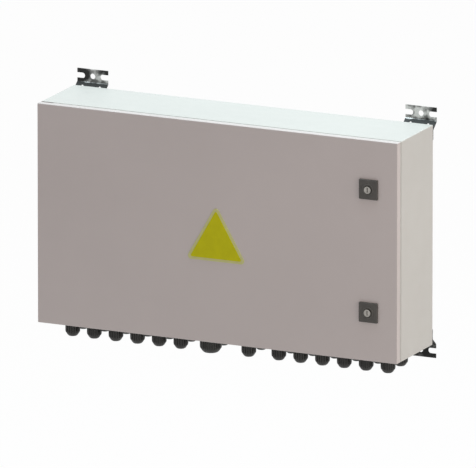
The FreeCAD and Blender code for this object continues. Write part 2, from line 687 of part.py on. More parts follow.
def door_gasket():
    """Foam strip inside the door that meets the rain lip all round."""
    body = new_body("door_gasket")
    sketch = new_sketch(body, "XZ_Plane", lip + S.gasket_clearance)
    middle = S.rim_width + S.shell_sheet / 2
    for inset in (middle - S.gasket_width / 2, middle + S.gasket_width / 2):
        reach_x, reach_z = half_width - inset, half_height - inset
        rectangle(sketch, -reach_x, reach_x, -reach_z, reach_z)
    pad(body, sketch, door_inner - lip - S.gasket_clearance)
    node(body)


def hinges():
    """Concealed hinges: a cranked leaf on the rim, a leaf in the door and a headed pin through both."""
    pin_hole = S.pin_radius + S.pin_clearance
    frame = new_body("frame_leaf_pattern")
    half = S.frame_knuckle / 2
    strap_right = S.knuckle_radius
    strap_left = S.knuckle_radius - S.frame_leaf_sheet
    foot = rim - hinge_forward
    foot_end = S.rim_width - S.hinge_side_inset - S.hinge_clearance
    leaf = new_sketch(frame, "XY_Plane", -half)
    outline(leaf, [
        (strap_left, 0), (strap_right, 0), (strap_right, -foot - S.frame_leaf_sheet),
        (foot_end, -foot - S.frame_leaf_sheet), (foot_end, -foot), (strap_left, -foot),
    ])
    pad(frame, leaf, S.frame_knuckle)
    barrel = new_sketch(frame, "XY_Plane", -half)
    circle(barrel, 0, 0, S.knuckle_radius)
    pad(frame, barrel, S.frame_knuckle)
    hole = new_sketch(frame, "XY_Plane", -half)
    circle(hole, 0, 0, pin_hole)
    pocket(frame, hole, S.frame_knuckle, forwards=True)
    at = [(hinge_x, -hinge_forward, level) for level in hinge_levels]
    group("hinge_frame_leaves", frame, at)

    door = new_body("door_leaf_pattern")
    reach = S.hinge_height / 2
    window = half + S.knuckle_play
    front = -(door_inner - hinge_forward)
    left = S.door_sheet - S.hinge_side_inset + S.hinge_clearance
    gasket_edge = S.rim_width + S.shell_sheet / 2 - S.gasket_width / 2
    right = gasket_edge - S.hinge_side_inset - S.hinge_clearance
    plate = new_sketch(door, "XY_Plane", -reach)
    rectangle(plate, left, right, front, front + S.door_leaf_sheet)
    pad(door, plate, S.hinge_height)
    for start in (-reach, window):
        knuckle = new_sketch(door, "XY_Plane", start)
        circle(knuckle, 0, 0, S.knuckle_radius)
        pad(door, knuckle, reach - window)
    hole = new_sketch(door, "XY_Plane", -reach)
    circle(hole, 0, 0, pin_hole)
    pocket(door, hole, S.hinge_height, forwards=True)
    gap = new_sketch(door, "XY_Plane", -window)
    rectangle(gap, left, S.knuckle_radius + S.hinge_clearance, front, S.knuckle_radius)
    pocket(door, gap, window * 2, forwards=True)
    group("hinge_door_leaves", door, at)

    pin = new_body("hinge_pin_pattern")
    top = reach + S.pin_clearance
    turned(pin, "XZ_Plane", [
        (0, -reach - S.knuckle_play), (S.pin_radius, -reach - S.knuckle_play), (S.pin_radius, top),
        (S.pin_head_radius, top), (S.pin_head_radius, top + S.pin_head_height), (0, top + S.pin_head_height),
    ])
    group("hinge_pins", pin, at)


def locks():
    """Quarter-turn locks: a square plate with a sleeve through the door, a nut, a key barrel and a cam."""
    sleeve_back = S.lock_sleeve_length
    bore = S.barrel_radius + S.barrel_clearance
    cam_front = door_front - rim_inner + S.cam_clearance
    half = S.lock_plate / 2
    reach = S.lock_side_inset - opening_inset + S.cam_overlap
    places = []
    for name, level in lock_levels.items():
        at = (lock_x, -door_front, level)
        places.append(at)
        housing = new_body(f"{name}_lock_housing", *at)
        plate = new_sketch(housing, "XZ_Plane", 0)
        rectangle(plate, -half, half, -half, half)
        pad(housing, plate, S.lock_proud)
        rounded(housing, S.lock_plate_edge, lambda edge: along_y(edge) or near(
            edge.CenterOfMass.y + float(S.lock_proud), 0))
        sleeve = new_sketch(housing, "XZ_Plane", -sleeve_back)
        circle(sleeve, 0, 0, S.lock_sleeve_radius)
        pad(housing, sleeve, sleeve_back)
        hole = new_sketch(housing, "XZ_Plane", S.lock_proud)
        circle(hole, 0, 0, bore)
        pocket(housing, hole, sleeve_back + S.lock_proud)
        node(housing)
        barrel = new_body(f"{name}_lock_barrel", *at)
        shaft = new_sketch(barrel, "XZ_Plane", -cam_front)
        circle(shaft, 0, 0, S.barrel_radius)
        pad(barrel, shaft, cam_front + S.lock_proud + S.barrel_proud)
        key = new_sketch(barrel, "XZ_Plane", S.lock_proud + S.barrel_proud)
        key_x, key_z = S.key_slot_width / 2, S.key_slot_length / 2
        rectangle(key, -key_x, key_x, -key_z, key_z)
        pocket(barrel, key, S.key_slot_depth)
        node(barrel)
        cam = new_body(f"{name}_lock_cam", *at)
        arm = new_sketch(cam, "XZ_Plane", -cam_front - S.cam_sheet)
        half_cam = S.cam_width / 2
        rectangle(arm, -half_cam, half_cam, -reach, half_cam)
        pad(cam, arm, S.cam_sheet)
        rounded(cam, S.cam_corner_radius, along_y)
        screw = new_sketch(cam, "XZ_Plane", -cam_front - S.cam_sheet - S.cam_screw_height)
        circle(screw, 0, 0, S.cam_screw_radius)
        pad(cam, screw, S.cam_screw_height)
        node(cam)
    nut = new_body("lock_nut_pattern")
    ring = new_sketch(nut, "XZ_Plane", -S.door_sheet - S.lock_nut_height)
    polygon(ring, 0, 0, S.lock_nut_flats)
    circle(ring, 0, 0, S.lock_sleeve_radius + S.thread_clearance)
    pad(nut, ring, S.lock_nut_height)
    group("lock_nuts", nut, places)


# Mounting plate and rails

def mounting_plate():
    """Flat plate on the shell's shouldered studs."""
    body = new_body("mounting_plate")
    sketch = new_sketch(body, "XZ_Plane", plate_back)
    half = S.plate_height / 2
    reach = half_width - S.plate_side_gap
    rectangle(sketch, -reach, reach, S.plate_rise - half, S.plate_rise + half)
    for x in (-stud_x, stud_x):
        for z in stud_levels:
            circle(sketch, x, z, S.fixing_radius + S.stud_hole_clearance)
    pad(body, sketch, S.plate_sheet)
    node(body)


def rail(name, left, right, level):
    """Top-hat rail with a row of slots in its crown."""
    body = new_body(name)
    profile = new_sketch(body, "YZ_Plane", left)
    half, crown, thick = S.rail_height / 2, S.rail_crown / 2, S.rail_sheet
    side = [
        (-rail_front, half), (-rail_front, crown - thick), (-plate_front - thick, crown - thick),
        (-plate_front - thick, -crown + thick), (-rail_front, -crown + thick), (-rail_front, -half),
        (-rail_front + thick, -half), (-rail_front + thick, -crown), (-plate_front, -crown),
        (-plate_front, crown), (-rail_front + thick, crown), (-rail_front + thick, half),
    ]
    outline(profile, [(across, up + level) for across, up in side])
    pad(body, profile, right - left)
    slot = new_sketch(body, "XZ_Plane", plate_front + thick)
    round_slot(slot, left + S.rail_slot_length, level, S.rail_slot_length, S.rail_slot_width)
    first = pocket(body, slot, thick)
    slots = 1 + whole((right - left - 2 * S.rail_slot_length) / S.rail_slot_pitch)
    if slots > 1:
        row_of(body, first, S.rail_slot_pitch, slots)
    node(body)


def rail_groove():
    """(depth, height) corners of the groove at the back of a rail-mounted device, from its top edge down."""
    half = S.rail_height / 2
    gap = S.rail_clearance
    hook = half - S.rail_hook
    depth = S.rail_sheet + gap
    return [
        (-S.holder_back, hook), (-depth, hook), (-depth, half + gap), (gap, half + gap),
        (gap, -half - gap), (-depth, -half - gap), (-depth, -hook), (-S.holder_back, -hook),
    ]


def on_rail(corners, level=0):
    """Turns (depth forward of the rail, height) corners into (y, z) ones."""
    return [(-rail_front - depth, height + level) for depth, height in corners]


def wire_terminals(body, places, half, shoulder, entry_width, well_radius, well_level):
    """Cable entries in both ends of a rail-mounted device and a screw well in front of each."""
    for end, low_end in ((half, False), (-half, True)):
        entries = new_sketch(body, "XY_Plane", end)
        rear = -rail_front - S.entry_forward
        for x in places:
            rectangle(entries, x - entry_width / 2, x + entry_width / 2, rear - S.entry_height, rear)
        pocket(body, entries, S.entry_deep, forwards=low_end)
    wells = new_sketch(body, "XZ_Plane", rail_front + shoulder)
    for x in places:
        for level in (-well_level, well_level):
            circle(wells, x, level, well_radius)
    pocket(body, wells, S.screw_well_deep)


# Fuse holders

def fuse_base_pattern():
    """Two-pole fuse base: stepped moulding with a rail groove, a curved well for the carrier between two
    cheeks, cable entries in both ends and screw wells in front."""
    body = new_body("fuse_base_pattern")
    half = S.holder_height / 2
    nose = S.holder_nose / 2
    width = S.holder_width - S.holder_gap
    profile = new_sketch(body, "YZ_Plane", 0)
    outline(profile, on_rail([
        (-S.holder_back, half), (S.terminal_depth, half), (S.terminal_depth, nose + S.holder_chamfer),
        (S.terminal_depth + S.holder_chamfer, nose), (S.nose_depth, nose), (S.nose_depth, -nose),
        (S.terminal_depth + S.holder_chamfer, -nose), (S.terminal_depth, -nose - S.holder_chamfer),
        (S.terminal_depth, -half), (-S.holder_back, -half),
    ] + list(reversed(rail_groove()))))
    pad(body, profile, width, both_ways=True)
    wire_terminals(body, fuse_poles, half, S.terminal_depth, S.entry_width, S.screw_well, S.screw_well_level)
    return body


def fuse_bases():
    """Six bases a side, each with its well, in two groups."""
    body = fuse_base_pattern()
    pivot = (-rail_front - S.pivot_depth, -S.pivot_drop)
    well = new_sketch(body, "YZ_Plane", 0)
    well.setExpression("AttachmentOffset.Base.x", words(pivot[0]))
    well.setExpression("AttachmentOffset.Base.y", words(pivot[1]))
    gap = S.pocket_gap
    boss, top = S.pivot_boss + gap, S.carrier_top + gap
    deep = hypotenuse(S.carrier_back, S.carrier_heel) + gap
    heel = S.carrier_heel + gap
    front = S.carrier_face + S.pocket_past_face
    swing_outline(well, [
        (0, None, -1), (None, -heel, 1), (deep, -heel), (deep, None, 1), (0, None, 1), (-front, top),
        (-front, -boss),
    ], {0: (boss, 1), 3: (top, 1)})
    pocket(body, well, S.holder_width - S.holder_gap - 2 * S.cheek, both_ways=True)
    pins = new_sketch(body, "YZ_Plane", 0)
    circle(pins, pivot[0], pivot[1], S.carrier_pin)
    pad(body, pins, S.holder_width - S.holder_gap, both_ways=True)
    left = [(-x, 0, S.holder_level) for x in reversed(bank_centres)]
    right = [(x, 0, S.holder_level) for x in bank_centres]
    group("positive_fuse_bases", body, left)
    group("negative_fuse_bases", body, right)


def fuse_carriers():
    """Swing-out carriers, numbered from the left, each with two fuse links in open troughs."""
    centres = [-x for x in reversed(bank_centres)] + bank_centres
    width = S.holder_width - S.holder_gap - 2 * S.cheek - 2 * S.carrier_gap
    grip_top = S.carrier_top - S.grip_step
    link_places = (fuse_poles[0] + S.trough_inset, fuse_poles[1] - S.trough_inset)
    for number, x in enumerate(centres, 1):
        body = new_body(f"fuse_carrier_{number:02d}", x, -rail_front - S.pivot_depth,
                        S.holder_level - S.pivot_drop)
        side = new_sketch(body, "YZ_Plane", 0)
        face = S.carrier_face
        swing_outline(side, [
            (None, 0, -1), (None, -S.carrier_heel, 1), (S.carrier_back, -S.carrier_heel),
            (S.carrier_back, None, 1), (-face, None, 1), (-face, grip_top),
            (-S.grip_forward, grip_top - S.grip_bevel),
            (S.grip_bevel - S.grip_forward, S.grip_bottom + S.grip_bevel), (-face, S.grip_bottom),
        ], {0: (S.pivot_boss, 1), 3: (S.carrier_top, 1)})
        pad(body, side, width, both_ways=True)
        hole = new_sketch(body, "YZ_Plane", 0)
        circle(hole, 0, 0, S.carrier_pin + S.carrier_pin_gap)
        pocket(body, hole, width, both_ways=True)
        troughs = new_sketch(body, "XZ_Plane", -S.carrier_back)
        reach = S.link_radius + S.link_gap
        low, high = S.link_level - S.trough_length / 2, S.link_level + S.trough_length / 2
        for pole in link_places:
            rectangle(troughs, pole - reach, pole + reach, low, high)
        pocket(body, troughs, S.carrier_back - S.link_depth + reach, forwards=True)
        links = new_sketch(body, "XY_Plane", S.link_level - S.link_length / 2)
        for pole in link_places:
            circle(links, pole, S.link_depth, S.link_radius)
        pad(body, links, S.link_length)
        node(body)


# Copper busbars

def busbars():
    """Comb busbars over each fuse row, each with a riser and a run to its own breaker terminal."""
    base_top = S.holder_level + S.holder_height / 2
    low = base_top + S.bar_gap_above
    high = low + S.bar_height
    inner = S.bank_inner - S.bar_end_margin
    outer = bank_outer + S.bar_end_margin
    pole = S.breaker_width / S.breaker_poles
    drop_end = S.breaker_level + S.breaker_height / 2 - S.drop_into
    run_high = run_level + S.riser_width
    wells = {
        "positive": (-1, S.breaker_centre - pole * (S.breaker_poles - 1) / 2),
        "negative": (1, S.breaker_centre + pole * (S.breaker_poles - 1) / 2),
    }
    screws = []
    supports = []
    for name, (side, well) in wells.items():
        body = new_body(name + "_busbar")
        shape = new_sketch(body, "XZ_Plane", S.bar_forward)
        near_x, far_x, riser_x = inner * side, outer * side, (inner + S.riser_width) * side
        drop_near = well + S.riser_width / 2 * side
        drop_far = well - S.riser_width / 2 * side
        outline(shape, [
            (far_x, low), (near_x, low), (near_x, run_level), (drop_near, run_level),
            (drop_near, drop_end), (drop_far, drop_end), (drop_far, run_high), (riser_x, run_high),
            (riser_x, high), (far_x, high),
        ])
        pad(body, shape, S.bar_thickness)
        finger = new_sketch(body, "XZ_Plane", S.bar_forward)
        first = (S.bank_inner if side > 0 else -bank_outer) + S.pole_pitch / 2
        half_finger = S.finger_width / 2
        rectangle(finger, first - half_finger, first + half_finger, base_top - S.finger_into, low)
        comb = pad(body, finger, S.bar_thickness)
        row_of(body, comb, S.pole_pitch, len(fuse_poles) * len(bank_centres))
        node(body)
        middle = (low + high) / 2
        for x in (inner + S.riser_width / 2, (inner + outer) / 2, outer - S.riser_width):
            supports.append((x * side, 0, middle))
            screws.append((x * side, 0, middle))
    insulator = new_body("insulator_pattern")
    height = S.bar_forward - plate_front
    wide, neck = S.insulator_radius, S.insulator_neck
    turned(insulator, "XY_Plane", [
        (0, 0), (wide, 0), (wide, height / 4), (neck, height / 3), (neck, height * 2 / 3),
        (wide, height * 3 / 4), (wide, height), (0, height),
    ])
    back_turn = FreeCAD.Rotation(FreeCAD.Vector(1, 0, 0), 180)
    group("busbar_insulators", insulator, [(x, -plate_front, z) for x, _, z in supports],
          [back_turn] * len(supports))
    screw = new_body("busbar_screw_pattern")
    head = new_sketch(screw, "XZ_Plane", S.bar_forward + S.bar_thickness)
    polygon(head, 0, 0, S.bar_screw_flats)
    pad(screw, head, S.bar_screw_height)
    group("busbar_screws", screw, screws)


# Main breaker

def breaker():
    """Moulded-case breaker with stepped ends, barriered terminal wells, a raised nose and a toggle handle."""
    body = new_body("breaker_case", S.breaker_centre, -plate_front, S.breaker_level)
    half = S.breaker_height / 2
    nose = S.breaker_nose_height / 2
    depth = S.breaker_depth
    profile = new_sketch(body, "YZ_Plane", 0)
    step = half - S.breaker_end_step
    slope = step - S.breaker_end_slope
    nose_foot = nose + S.breaker_nose_slope
    outline(profile, [
        (0, -half), (0, half), (-S.breaker_shoulder, half), (-S.breaker_shoulder, step),
        (-depth, slope), (-depth, nose_foot), (-depth - S.breaker_nose, nose),
        (-depth - S.breaker_nose, -nose), (-depth, -nose_foot), (-depth, -slope),
        (-S.breaker_shoulder, -step), (-S.breaker_shoulder, -half),
    ])
    pad(body, profile, S.breaker_width, both_ways=True)
    pole = S.breaker_width / S.breaker_poles
    for end, inward in ((half, False), (-half, True)):
        wells = new_sketch(body, "XY_Plane", end)
        for k in range(whole(S.breaker_poles)):
            x = pole * (k + 0.5) - S.breaker_width / 2
            reach = (pole - S.breaker_barrier) / 2
            rectangle(wells, x - reach, x + reach, -S.breaker_shoulder, -S.breaker_well_back)
        pocket(body, wells, S.breaker_well, forwards=inward)
    drum = new_sketch(body, "YZ_Plane", 0)
    circle(drum, -drum_depth, 0, S.handle_drum + S.handle_gap)
    pocket(body, drum, S.handle_width + 2 * S.handle_gap, both_ways=True)
    node(body)

    handle = new_body("breaker_handle", S.breaker_centre, -plate_front - drum_depth, S.breaker_level)
    round_part = new_sketch(handle, "YZ_Plane", 0)
    circle(round_part, 0, 0, S.handle_drum)
    pad(handle, round_part, S.handle_width, both_ways=True)
    angle = math.radians(SIZES["handle_rest_angle"])
    lean, rise = math.cos(angle), -math.sin(angle)
    lever = new_sketch(handle, "YZ_Plane", 0)
    far = S.handle_drum + S.handle_out
    thick = S.handle_lever / 2
    outline(lever, [
        (-far * lean + thick * rise, far * rise + thick * lean), (thick * rise, thick * lean),
        (-thick * rise, -thick * lean), (-far * lean - thick * rise, far * rise - thick * lean),
    ])
    pad(handle, lever, S.handle_width - 2 * S.handle_lever_inset, both_ways=True)
    node(handle)


# Surge protector, monitor, terminals and earth bar

def surge_protector():
    """Rail-mounted base with two upright ends and a row of plug-in cartridges between them."""
    half = S.surge_height / 2
    slot = S.surge_slot_height / 2
    jaw = slot + S.surge_jaw
    shoulder = S.surge_depth - S.surge_shoulder_drop
    base = new_body("surge_protector_base", device_centre, 0, S.holder_level)
    profile = new_sketch(base, "YZ_Plane", 0)
    outline(profile, on_rail([
        (-S.holder_back, half), (shoulder, half), (shoulder, jaw + S.surge_bevel), (S.surge_depth, jaw),
        (S.surge_depth, slot), (S.surge_floor, slot), (S.surge_floor, -slot), (S.surge_depth, -slot),
        (S.surge_depth, -jaw), (shoulder, -jaw - S.surge_bevel), (shoulder, -half), (-S.holder_back, -half),
    ] + list(reversed(rail_groove()))))
    pad(base, profile, surge_width, both_ways=True)
    steps = [S.surge_module * (k - (S.surge_modules - 1) / 2) for k in range(whole(S.surge_modules))]
    well_level = (half + jaw + S.surge_bevel) / 2
    wire_terminals(base, steps, half, shoulder, S.entry_width, S.surge_screw_well, well_level)
    node(base)
    plug = new_body("surge_cartridge_pattern")
    side = new_sketch(plug, "YZ_Plane", 0)
    gap = S.surge_gap
    deep = S.surge_plug_depth
    lip_depth = S.surge_depth + S.surge_plug_lip
    outline(side, on_rail([
        (S.surge_floor, slot - gap), (lip_depth, slot - gap), (deep, slot - S.surge_plug_bevel),
        (deep, S.surge_plug_bevel - slot), (lip_depth, gap - slot), (S.surge_floor, gap - slot),
    ]))
    pad(plug, side, S.surge_module - gap, both_ways=True)
    places = [(device_centre + step, 0, S.holder_level) for step in steps]
    group("surge_cartridges", plug, places)


def monitor_unit():
    """Rail-mounted electronics housing with terminal shoulders and a raised nose."""
    body = new_body("monitor_unit", device_centre, 0, monitor_level)
    half = S.monitor_height / 2
    nose = S.monitor_nose / 2
    nose_foot = nose + S.monitor_slope
    profile = new_sketch(body, "YZ_Plane", 0)
    outline(profile, on_rail([
        (-S.holder_back, half), (S.monitor_shoulder, half), (S.monitor_shoulder, nose_foot),
        (S.monitor_depth, nose), (S.monitor_depth, -nose), (S.monitor_shoulder, -nose_foot),
        (S.monitor_shoulder, -half), (-S.holder_back, -half),
    ] + list(reversed(rail_groove()))))
    pad(body, profile, S.monitor_width, both_ways=True)
    steps = [S.monitor_wire_pitch * (k - (S.monitor_wires - 1) / 2) for k in range(whole(S.monitor_wires))]
    wire_terminals(body, steps, half, S.monitor_shoulder, S.monitor_entry_width, S.monitor_screw_well,
                   (half + nose_foot) / 2)
    node(body)


def terminal_blocks():
    """Signal terminals side by side on their own rail."""
    block = new_body("terminal_pattern")
    half = S.terminal_height / 2
    front = S.terminal_depth_front
    shoulder = front - S.terminal_step
    nose = half - S.terminal_step - S.terminal_bevel
    side = new_sketch(block, "YZ_Plane", 0)
    outline(side, on_rail([
        (-S.holder_back, half), (shoulder, half), (shoulder, nose + S.terminal_bevel), (front, nose),
        (front, -nose), (shoulder, -nose - S.terminal_bevel), (shoulder, -half), (-S.holder_back, -half),
    ] + list(reversed(rail_groove()))))
    pad(block, side, S.terminal_width - S.surge_gap, both_ways=True)
    wire_terminals(block, [0], half, shoulder, S.terminal_entry_width, S.terminal_screw_well,
                   half - S.terminal_step / 2)
    first = device_centre - S.terminal_width * (S.terminal_count - 1) / 2
    places = [(first + S.terminal_width * k, 0, S.terminal_level) for k in range(whole(S.terminal_count))]
    group("terminal_blocks", block, places)


def earth_bar():
    """Copper bar on two feet, with a row of tapped holes."""
    body = new_body("earth_bar", S.earth_bar_centre, -plate_front, S.earth_bar_level)
    half, rise = S.earth_bar_length / 2, S.earth_bar_height / 2
    bar = new_sketch(body, "XZ_Plane", S.earth_bar_foot)
    rectangle(bar, -half, half, -rise, rise)
    pad(body, bar, S.earth_bar_thickness)
    feet = new_sketch(body, "XZ_Plane", 0)
    for sign in (-1, 1):
        rectangle(feet, half * sign, (half - S.earth_bar_foot) * sign, -rise, rise)
    pad(body, feet, S.earth_bar_foot)
    hole = new_sketch(body, "XZ_Plane", S.earth_bar_foot + S.earth_bar_thickness)
    circle(hole, S.earth_bar_foot * 1.5 - half, 0, S.earth_bar_hole)
    first = pocket(body, hole, S.earth_bar_thickness)
    holes = 1 + whole((S.earth_bar_length - 3 * S.earth_bar_foot) / S.earth_bar_pitch)
    row_of(body, first, S.earth_bar_pitch, holes)
    node(body)


# Building and writing

enclosure_shell()
gland_plate()
gland_plate_screws()
gland("string", string_places())
gland("output", [output_place()])
mounting_lugs()
lug_bolts()
hexagon_nuts()
door_panel()
door_gasket()
hinges()
locks()
mounting_plate()
rail("left_fuse_rail", -bank_outer - S.rail_overhang, -S.bank_inner + S.rail_overhang, S.holder_level)
surge_end = device_centre - surge_width / 2 - S.rail_overhang
rail("right_fuse_rail", surge_end, bank_outer + S.rail_overhang, S.holder_level)
rail("monitor_rail", device_centre - S.monitor_width / 2, device_centre + S.monitor_width / 2, monitor_level)
half_terminals = S.terminal_width * S.terminal_count / 2 + S.rail_overhang
rail("terminal_rail", device_centre - half_terminals, device_centre + half_terminals, S.terminal_level)
fuse_bases()
fuse_carriers()
busbars()
breaker()
surge_protector()
monitor_unit()
terminal_blocks()
earth_bar()
doc.recompute()

for thing in doc.Objects:
    if {"Invalid", "Error"} & set(thing.State):
        raise RuntimeError(f"{thing.Label} failed: {thing.State}")
for cut in cuts:
    if cut.Shape.Volume > cut.BaseFeature.Shape.Volume - 0.001:
        raise RuntimeError(f"{cut.Label} cuts nothing")
for thing in nodes:
    if thing.Shape.isNull() or not thing.Shape.isValid():
        raise RuntimeError(f"{thing.Label} has no valid shape")
for thing in nodes:
    thing.Shape.exportStep(f"parts/{thing.Label}.step")
print(len(nodes), "sub-parts written")
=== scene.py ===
import bmesh
import bpy
import json
import math
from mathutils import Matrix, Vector


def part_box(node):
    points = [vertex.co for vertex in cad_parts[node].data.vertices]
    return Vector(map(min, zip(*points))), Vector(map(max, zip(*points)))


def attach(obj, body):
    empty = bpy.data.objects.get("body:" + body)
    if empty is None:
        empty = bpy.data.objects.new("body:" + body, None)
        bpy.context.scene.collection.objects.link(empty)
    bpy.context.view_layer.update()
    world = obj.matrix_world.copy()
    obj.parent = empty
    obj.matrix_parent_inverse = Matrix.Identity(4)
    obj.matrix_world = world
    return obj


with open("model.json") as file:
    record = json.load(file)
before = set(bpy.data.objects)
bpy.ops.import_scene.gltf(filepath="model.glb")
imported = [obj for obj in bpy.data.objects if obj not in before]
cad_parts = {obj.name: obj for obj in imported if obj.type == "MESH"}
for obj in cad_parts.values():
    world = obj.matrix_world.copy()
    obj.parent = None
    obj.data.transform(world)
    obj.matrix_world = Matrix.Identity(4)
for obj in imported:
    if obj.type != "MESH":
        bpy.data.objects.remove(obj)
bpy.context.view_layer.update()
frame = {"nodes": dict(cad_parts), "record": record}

# Solar combiner box, dressed for looks. +Z is up, and the door faces -Y.
# Pieces are drawn in millimetres and turned into metres as they are made. The stage is in metres.

MM = 0.001
RIGHT, UP, FORWARD = Vector((1, 0, 0)), Vector((0, 0, 1)), Vector((0, -1, 0))
# The corners of a rectangle, counted in halves of its sides.
SQUARE = ((-1, -1), (1, -1), (1, 1), (-1, 1))
# How deep a small piece is let into the face that it stands on.
SEAT = 0.2
# Edges that turn by more than this stay sharp.
SHARP_ANGLE = math.radians(35)
# The fuse carriers' numbers, outward from the middle: the left row, then the right one.
CARRIERS = [*range(6, 0, -1), *range(7, 13)]
record = frame["record"]
bpy.context.scene.view_settings.view_transform = "Standard"


# Colour and material helpers

def screen(red, green, blue):
    """A colour given as 0 to 255 screen values, in Blender's linear scale."""
    shares = [value / 255 for value in (red, green, blue)]
    linear = [s / 12.92 if s <= 0.04045 else ((s + 0.055) / 1.055) ** 2.4 for s in shares]
    return (*linear, 1.0)


def shade(colour, factor):
    """The same colour, darker or lighter by a factor."""
    return (*[min(1.0, part * factor) for part in colour[:3]], 1.0)


class Finish:
    """A material that is being built round one Principled shader, in the object's own coordinates."""

    def __init__(self, name, **settings):
        self.material = bpy.data.materials.new(name)
        self.material.use_nodes = True
        self.tree = self.material.node_tree
        self.shader = self.tree.nodes["Principled BSDF"]
        for socket, value in settings.items():
            self.shader.inputs[socket.replace("_", " ").title().replace("Ior", "IOR")].default_value = value
        self.place = self.tree.nodes.new("ShaderNodeTexCoord").outputs["Object"]

    def link(self, source, target):
        self.tree.links.new(source, target)

    def stretched(self, scale):
        """Object coordinates scaled by (x, y, z), for a grain with a direction."""
        mapping = self.tree.nodes.new("ShaderNodeMapping")
        mapping.inputs["Scale"].default_value = scale
        self.link(self.place, mapping.inputs["Vector"])
        return mapping.outputs["Vector"]

    def moved(self, shift):
        """Object coordinates moved by (x, y, z) metres, which chooses where patches fall."""
        mapping = self.tree.nodes.new("ShaderNodeMapping")
        mapping.inputs["Location"].default_value = shift
        self.link(self.place, mapping.inputs["Vector"])
        return mapping.outputs["Vector"]

    def depth(self):
        """The object's Y coordinate: 0 at the wall, and below 0 in front of it."""
        node = self.tree.nodes.new("ShaderNodeSeparateXYZ")
        self.link(self.place, node.inputs["Vector"])
        return node.outputs["Y"]

    def added(self, first, second):
        """The sum of two factors."""
        node = self.tree.nodes.new("ShaderNodeMath")
        self.link(first, node.inputs[0])
        self.link(second, node.inputs[1])
        return node.outputs[0]

    def noise(self, scale, detail=3.0, vector=None):
        """Soft noise; scale is the number of its features to the metre."""
        node = self.tree.nodes.new("ShaderNodeTexNoise")
        node.inputs["Scale"].default_value = scale
        node.inputs["Detail"].default_value = detail
        self.link(vector or self.place, node.inputs["Vector"])
        return node.outputs["Fac"]

    def cells(self, scale, output="Distance"):
        """Cells like crystals or pores; scale is their number to the metre."""
        node = self.tree.nodes.new("ShaderNodeTexVoronoi")
        node.inputs["Scale"].default_value = scale
        self.link(self.place, node.inputs["Vector"])
        return node.outputs[output]

    def spread(self, factor, low, high, start=0.3, end=0.7):
        """Turns a factor between start and end into a value between low and high."""
        node = self.tree.nodes.new("ShaderNodeMapRange")
        for socket, value in (("From Min", start), ("From Max", end), ("To Min", low), ("To Max", high)):
            node.inputs[socket].default_value = value
        self.link(factor, node.inputs["Value"])
        return node.outputs["Result"]

    def colours(self, factor, *stops):
        """A colour ramp over a factor; stops are (position, colour)."""
        node = self.tree.nodes.new("ShaderNodeValToRGB")
        ramp = node.color_ramp
        while len(ramp.elements) < len(stops):
            ramp.elements.new(0.5)
        for element, (position, colour) in zip(ramp.elements, stops):
            element.position = position
            element.color = colour
        self.link(factor, node.inputs["Fac"])
        return node.outputs["Color"]

    def base(self, colour):
        self.link(colour, self.shader.inputs["Base Color"])

    def roughness(self, value):
        self.link(value, self.shader.inputs["Roughness"])

    def bumps(self, *layers):
        """Height layers, each (height, strength, depth in millimetres), laid over one another."""
        last = None
        for height, strength, depth in layers:
            node = self.tree.nodes.new("ShaderNodeBump")
            node.inputs["Strength"].default_value = strength
            node.inputs["Distance"].default_value = depth * MM
            self.link(height, node.inputs["Height"])
            if last is not None:
                self.link(last, node.inputs["Normal"])
            last = node.outputs["Normal"]
        self.link(last, self.shader.inputs["Normal"])


# Materials

def powder_coat(name, grey):
    """Light grey powder coat: orange peel, faint cloudiness and slightly uneven gloss."""
    finish = Finish(name, specular_ior_level=0.4)
    cloud = finish.noise(4.0, 4.0)
    finish.base(finish.colours(cloud, (0.3, shade(grey, 0.975)), (0.7, shade(grey, 1.02))))
    finish.roughness(finish.spread(finish.noise(35.0), 0.42, 0.56))
    finish.bumps((finish.noise(650.0, 2.0), 0.22, 0.15), (finish.noise(2600.0, 1.0), 0.12, 0.05))
    return finish.material


def plated(finish, patch, *stops):
    """Zinc whose colour and gloss follow a patch factor, with faint rolling marks."""
    finish.base(finish.colours(patch, *stops))
    finish.roughness(finish.spread(patch, 0.5, 0.34))
    rolled = finish.noise(90.0, 4.0, finish.stretched((0.15, 1.0, 1.0)))
    finish.bumps((rolled, 0.12, 0.1), (finish.noise(1500.0), 0.08, 0.04))
    return finish.material


def zinc_plating():
    """Zinc plating on pressed steel, bright in places and dull and dark in others."""
    bright = screen(196, 196, 194)
    finish = Finish("zinc_plating", metallic=1.0)
    dark, dull = shade(bright, 0.14), shade(bright, 0.34)
    return plated(finish, finish.noise(34.0), (0.42, dark), (0.52, dull), (0.66, bright))


def lug_zinc():
    """Zinc on the wall lugs: bright and dark patches on flange and foot, which are zinc tone and painted
    reflections, and a painted dark reflection on the bent web.
    """
    bright = screen(206, 206, 204)
    dark, dull = shade(bright, 0.06), shade(bright, 0.3)
    flange_end, web_start = -2.5 * MM, -5.0 * MM
    web_end, foot_start = -11.5 * MM, -13.5 * MM
    web_reflection_shade, foot_reflection_lift = -0.2, 0.15
    finish = Finish("lug_zinc", metallic=1.0)
    # Painted dark reflection by depth: the patch factor is lowered from the web on, so the bent web comes out
    # dark, and raised part of the way again on the foot.
    web_painted_reflection = finish.spread(finish.depth(), web_reflection_shade, 0, web_start, flange_end)
    foot_painted_reflection = finish.spread(finish.depth(), foot_reflection_lift, 0, foot_start, web_end)
    # Patches of zinc tone, shifted so that the dark and bright ones fall on the flanges as painted dark and
    # light reflections.
    tone_and_reflection_patches = finish.noise(34.0, vector=finish.moved((0.57, 0.03, 0.12)))
    patch = finish.added(tone_and_reflection_patches, finish.added(web_painted_reflection, foot_painted_reflection))
    return plated(finish, patch, (0.44, dark), (0.52, dull), (0.6, bright))


